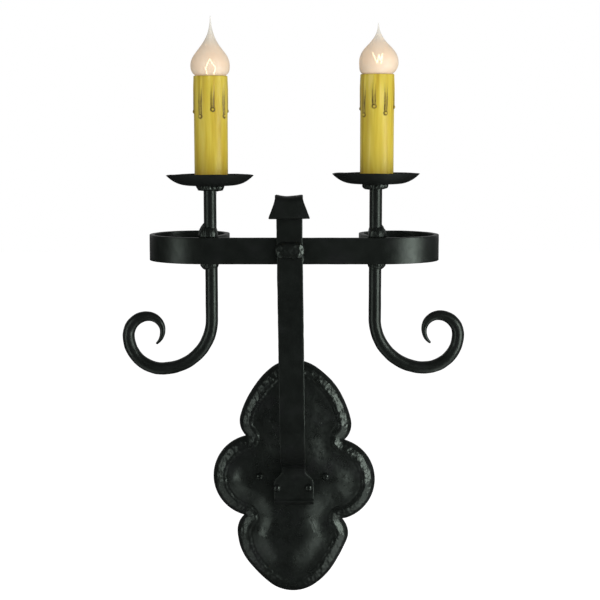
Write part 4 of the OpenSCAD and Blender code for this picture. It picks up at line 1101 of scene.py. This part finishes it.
def dipped_bulb(side_name, finish):
    """Glass dipped in a milky coat that was drawn up into a flame's tip."""
    side = SIDES[side_name]
    globe_z, tip_h = BULBS[side_name]
    tip = MOUTH_Z + globe_z + tip_h
    bm = spun(glass_side(globe_z, tip_h) + [(0, tip)], lamp_centre(side), 96)
    for v in bm.verts:
        up = ease(v.co.z, MOUTH_Z + globe_z, tip)
        v.co.x += -side * 0.6 * up + 0.25 * ease(v.co.z, MOUTH_Z, MOUTH_Z + 6) * noise.noise(v.co / 14)
        v.co.x += BULB_SET[side] * ease(v.co.z, MOUTH_Z + 0.5, MOUTH_Z + 9)
    lamp_piece(side_name, "dipped_bulb", "bulb_glass", bm, side_name + "_bulb", finish, "frosted_bulb")


# Each filament: its middle's height above the sleeve, and its corners about that
WIRE_Z = {"left": 8.5, "right": 14.0}
WIRES = {
    "left": [(-3.2, 0, -7), (-4.6, -1.0, -1.5), (-1.6, -1.6, 5.5), (-0.4, -1.8, 7.2), (1.4, -1.6, 4.2),
             (5.0, -1.0, -1.2), (3.2, 0, -7)],
    "right": [(-3.2, 0, 3.2), (-4.9, -1.0, 6.2), (-0.4, -1.7, -3.4), (1.2, -1.8, 4.4), (2.4, -1.6, -1.0),
              (4.6, -1.2, 5.2), (3.6, 0, -3.8)]}
WIRE_R, LEAD_R = 0.42, 0.28


def thin_rod(bm, a, b, r):
    """A thin round rod between two points, its far end rounded."""
    turn = (b - a).to_track_quat("Z", "Y").to_matrix().to_4x4()
    bmesh.ops.create_cone(bm, cap_ends=True, segments=10, radius1=r, radius2=r, depth=(b - a).length,
                          matrix=Matrix.Translation((a + b) / 2) @ turn)
    bmesh.ops.create_icosphere(bm, subdivisions=2, radius=r, matrix=Matrix.Translation(b))


def filament(side_name, wire_finish, glass_finish, lead_finish):
    """The glowing wire, the glass mount below it and the two leads between them."""
    body = side_name + "_bulb"
    centre = Vector((*lamp_centre(SIDES[side_name]), MOUTH_Z + WIRE_Z[side_name]))
    points = [centre + Vector(p) for p in WIRES[side_name]]
    bm = bmesh.new()
    for a, b in zip(points, points[1:]):
        thin_rod(bm, a, b, WIRE_R)
    lamp_piece(side_name, "glow_wire", None, bm, body, wire_finish, "filament")

    neck = CAP_TOP - 4
    mount = bmesh.new()
    turn_on(mount, [(0, neck + 0.5), (10.9, neck + 0.5), (10.9, neck + 1.6), (8, neck + 2.6), (3.2, neck + 4),
                    (2.3, neck + 8), (2.2, MOUTH_Z - 4), (1.6, MOUTH_Z - 2.4), (0, MOUTH_Z - 2)],
            centre, 40)
    lamp_piece(side_name, "mount", "filament", mount, body, glass_finish, "filament")

    leads = bmesh.new()
    for point, hand in ((points[0], LEFT), (points[-1], RIGHT)):
        low = Vector((centre.x + hand * 1.2, LAMP_Y, MOUTH_Z - 4.5))
        thin_rod(leads, low, point, LEAD_R)
    lamp_piece(side_name, "leads", None, leads, body, lead_finish, "filament")


# Putting it together

place_camera()
light_the_room()
lay_floor()

forged = iron_finish("forged_iron", 0.24, 0.14, 1.0, 0.7)
painted = iron_finish("painted_bar", 0.30, 0.12, 0.45, 0.54)
panned = iron_finish("pan_iron", 0.40, 0.12, 0.5, 0.45)
screw_black = iron_finish("black_screw", 0.2, 0.1, 0.2, 0.6)
zinc = metal_finish("zinc_steel", (0.62, 0.64, 0.66), (0.42, 0.44, 0.45), 0.3)
brass = metal_finish("brass", (0.78, 0.56, 0.22), (0.50, 0.34, 0.13), 0.25)
cap_metal = metal_finish("cap_brass", (0.74, 0.60, 0.34), (0.52, 0.42, 0.24), 0.24)
green = metal_finish("ground_green", (0.03, 0.30, 0.10), (0.02, 0.18, 0.06), 0.3, metallic=0.6)
plastic = moulded_finish("black_plastic", (0.018, 0.018, 0.019), 0.45)
bakelite = moulded_finish("phenolic", (0.035, 0.022, 0.016), 0.3)
board = moulded_finish("fibre", (0.68, 0.60, 0.46), 0.7, 0.2)
vitrite = moulded_finish("black_glass", (0.012, 0.012, 0.018), 0.15)
wax = wax_finish()
glass = clear_finish()
glow = glow_finish()
# Parts inside each lamp that are kept as drawn: node, finish, slot and how far edges are broken
LAMP_PARTS = (("nipple", zinc, "zinc_steel", 0.12), ("locknut", zinc, "zinc_steel", 0.12),
              ("socket_bracket", zinc, "zinc_steel", 0.12), ("socket_base", bakelite, "phenolic", 0.12),
              ("centre_contact", brass, "brass", 0.12), ("insulating_tube", board, "fibre", 0))

hammered_plate(forged)
stem_bar(painted)
ring_band(painted)
collar(forged)
welds(forged)
for name, hand in SIDES.items():
    scroll(name, painted)
    lamp_tube(name, painted)
    drip_pan(name, panned)
    candle_sleeve(name, wax)
    screw_shell(name, brass)
    bulb_cap(name, cap_metal)
    globe_z, tip_h = BULBS[name]
    globe = MOUTH_Z + globe_z + RISE[hand]
    coat = coat_finish(name + "_bulb_coat", (lamp_centre(hand)[0], LAMP_Y - 6, globe + 2), globe, globe + tip_h)
    dipped_bulb(name, coat)
    filament(name, glow, glass, zinc)
    for part, finish, slot, edge in LAMP_PARTS:
        fettle(f"{name}_{part}", "frame", finish, slot, edge)
    fettle(name + "_bulb_contact", name + "_bulb", vitrite, "black_glass")

fettle("crossbar", "frame", zinc, "zinc_steel", 0.25)
fettle("canopy_screws", "frame", screw_black, "black_screw")
fettle("ground_screw", "frame", green, "ground_green")
fettle("wire_bushing", "frame", plastic, "black_plastic", 0.2)
fettle("foot_rivets", "frame", screw_black, "forged_iron", 0)

bpy.context.scene.view_settings.view_transform = "Standard"
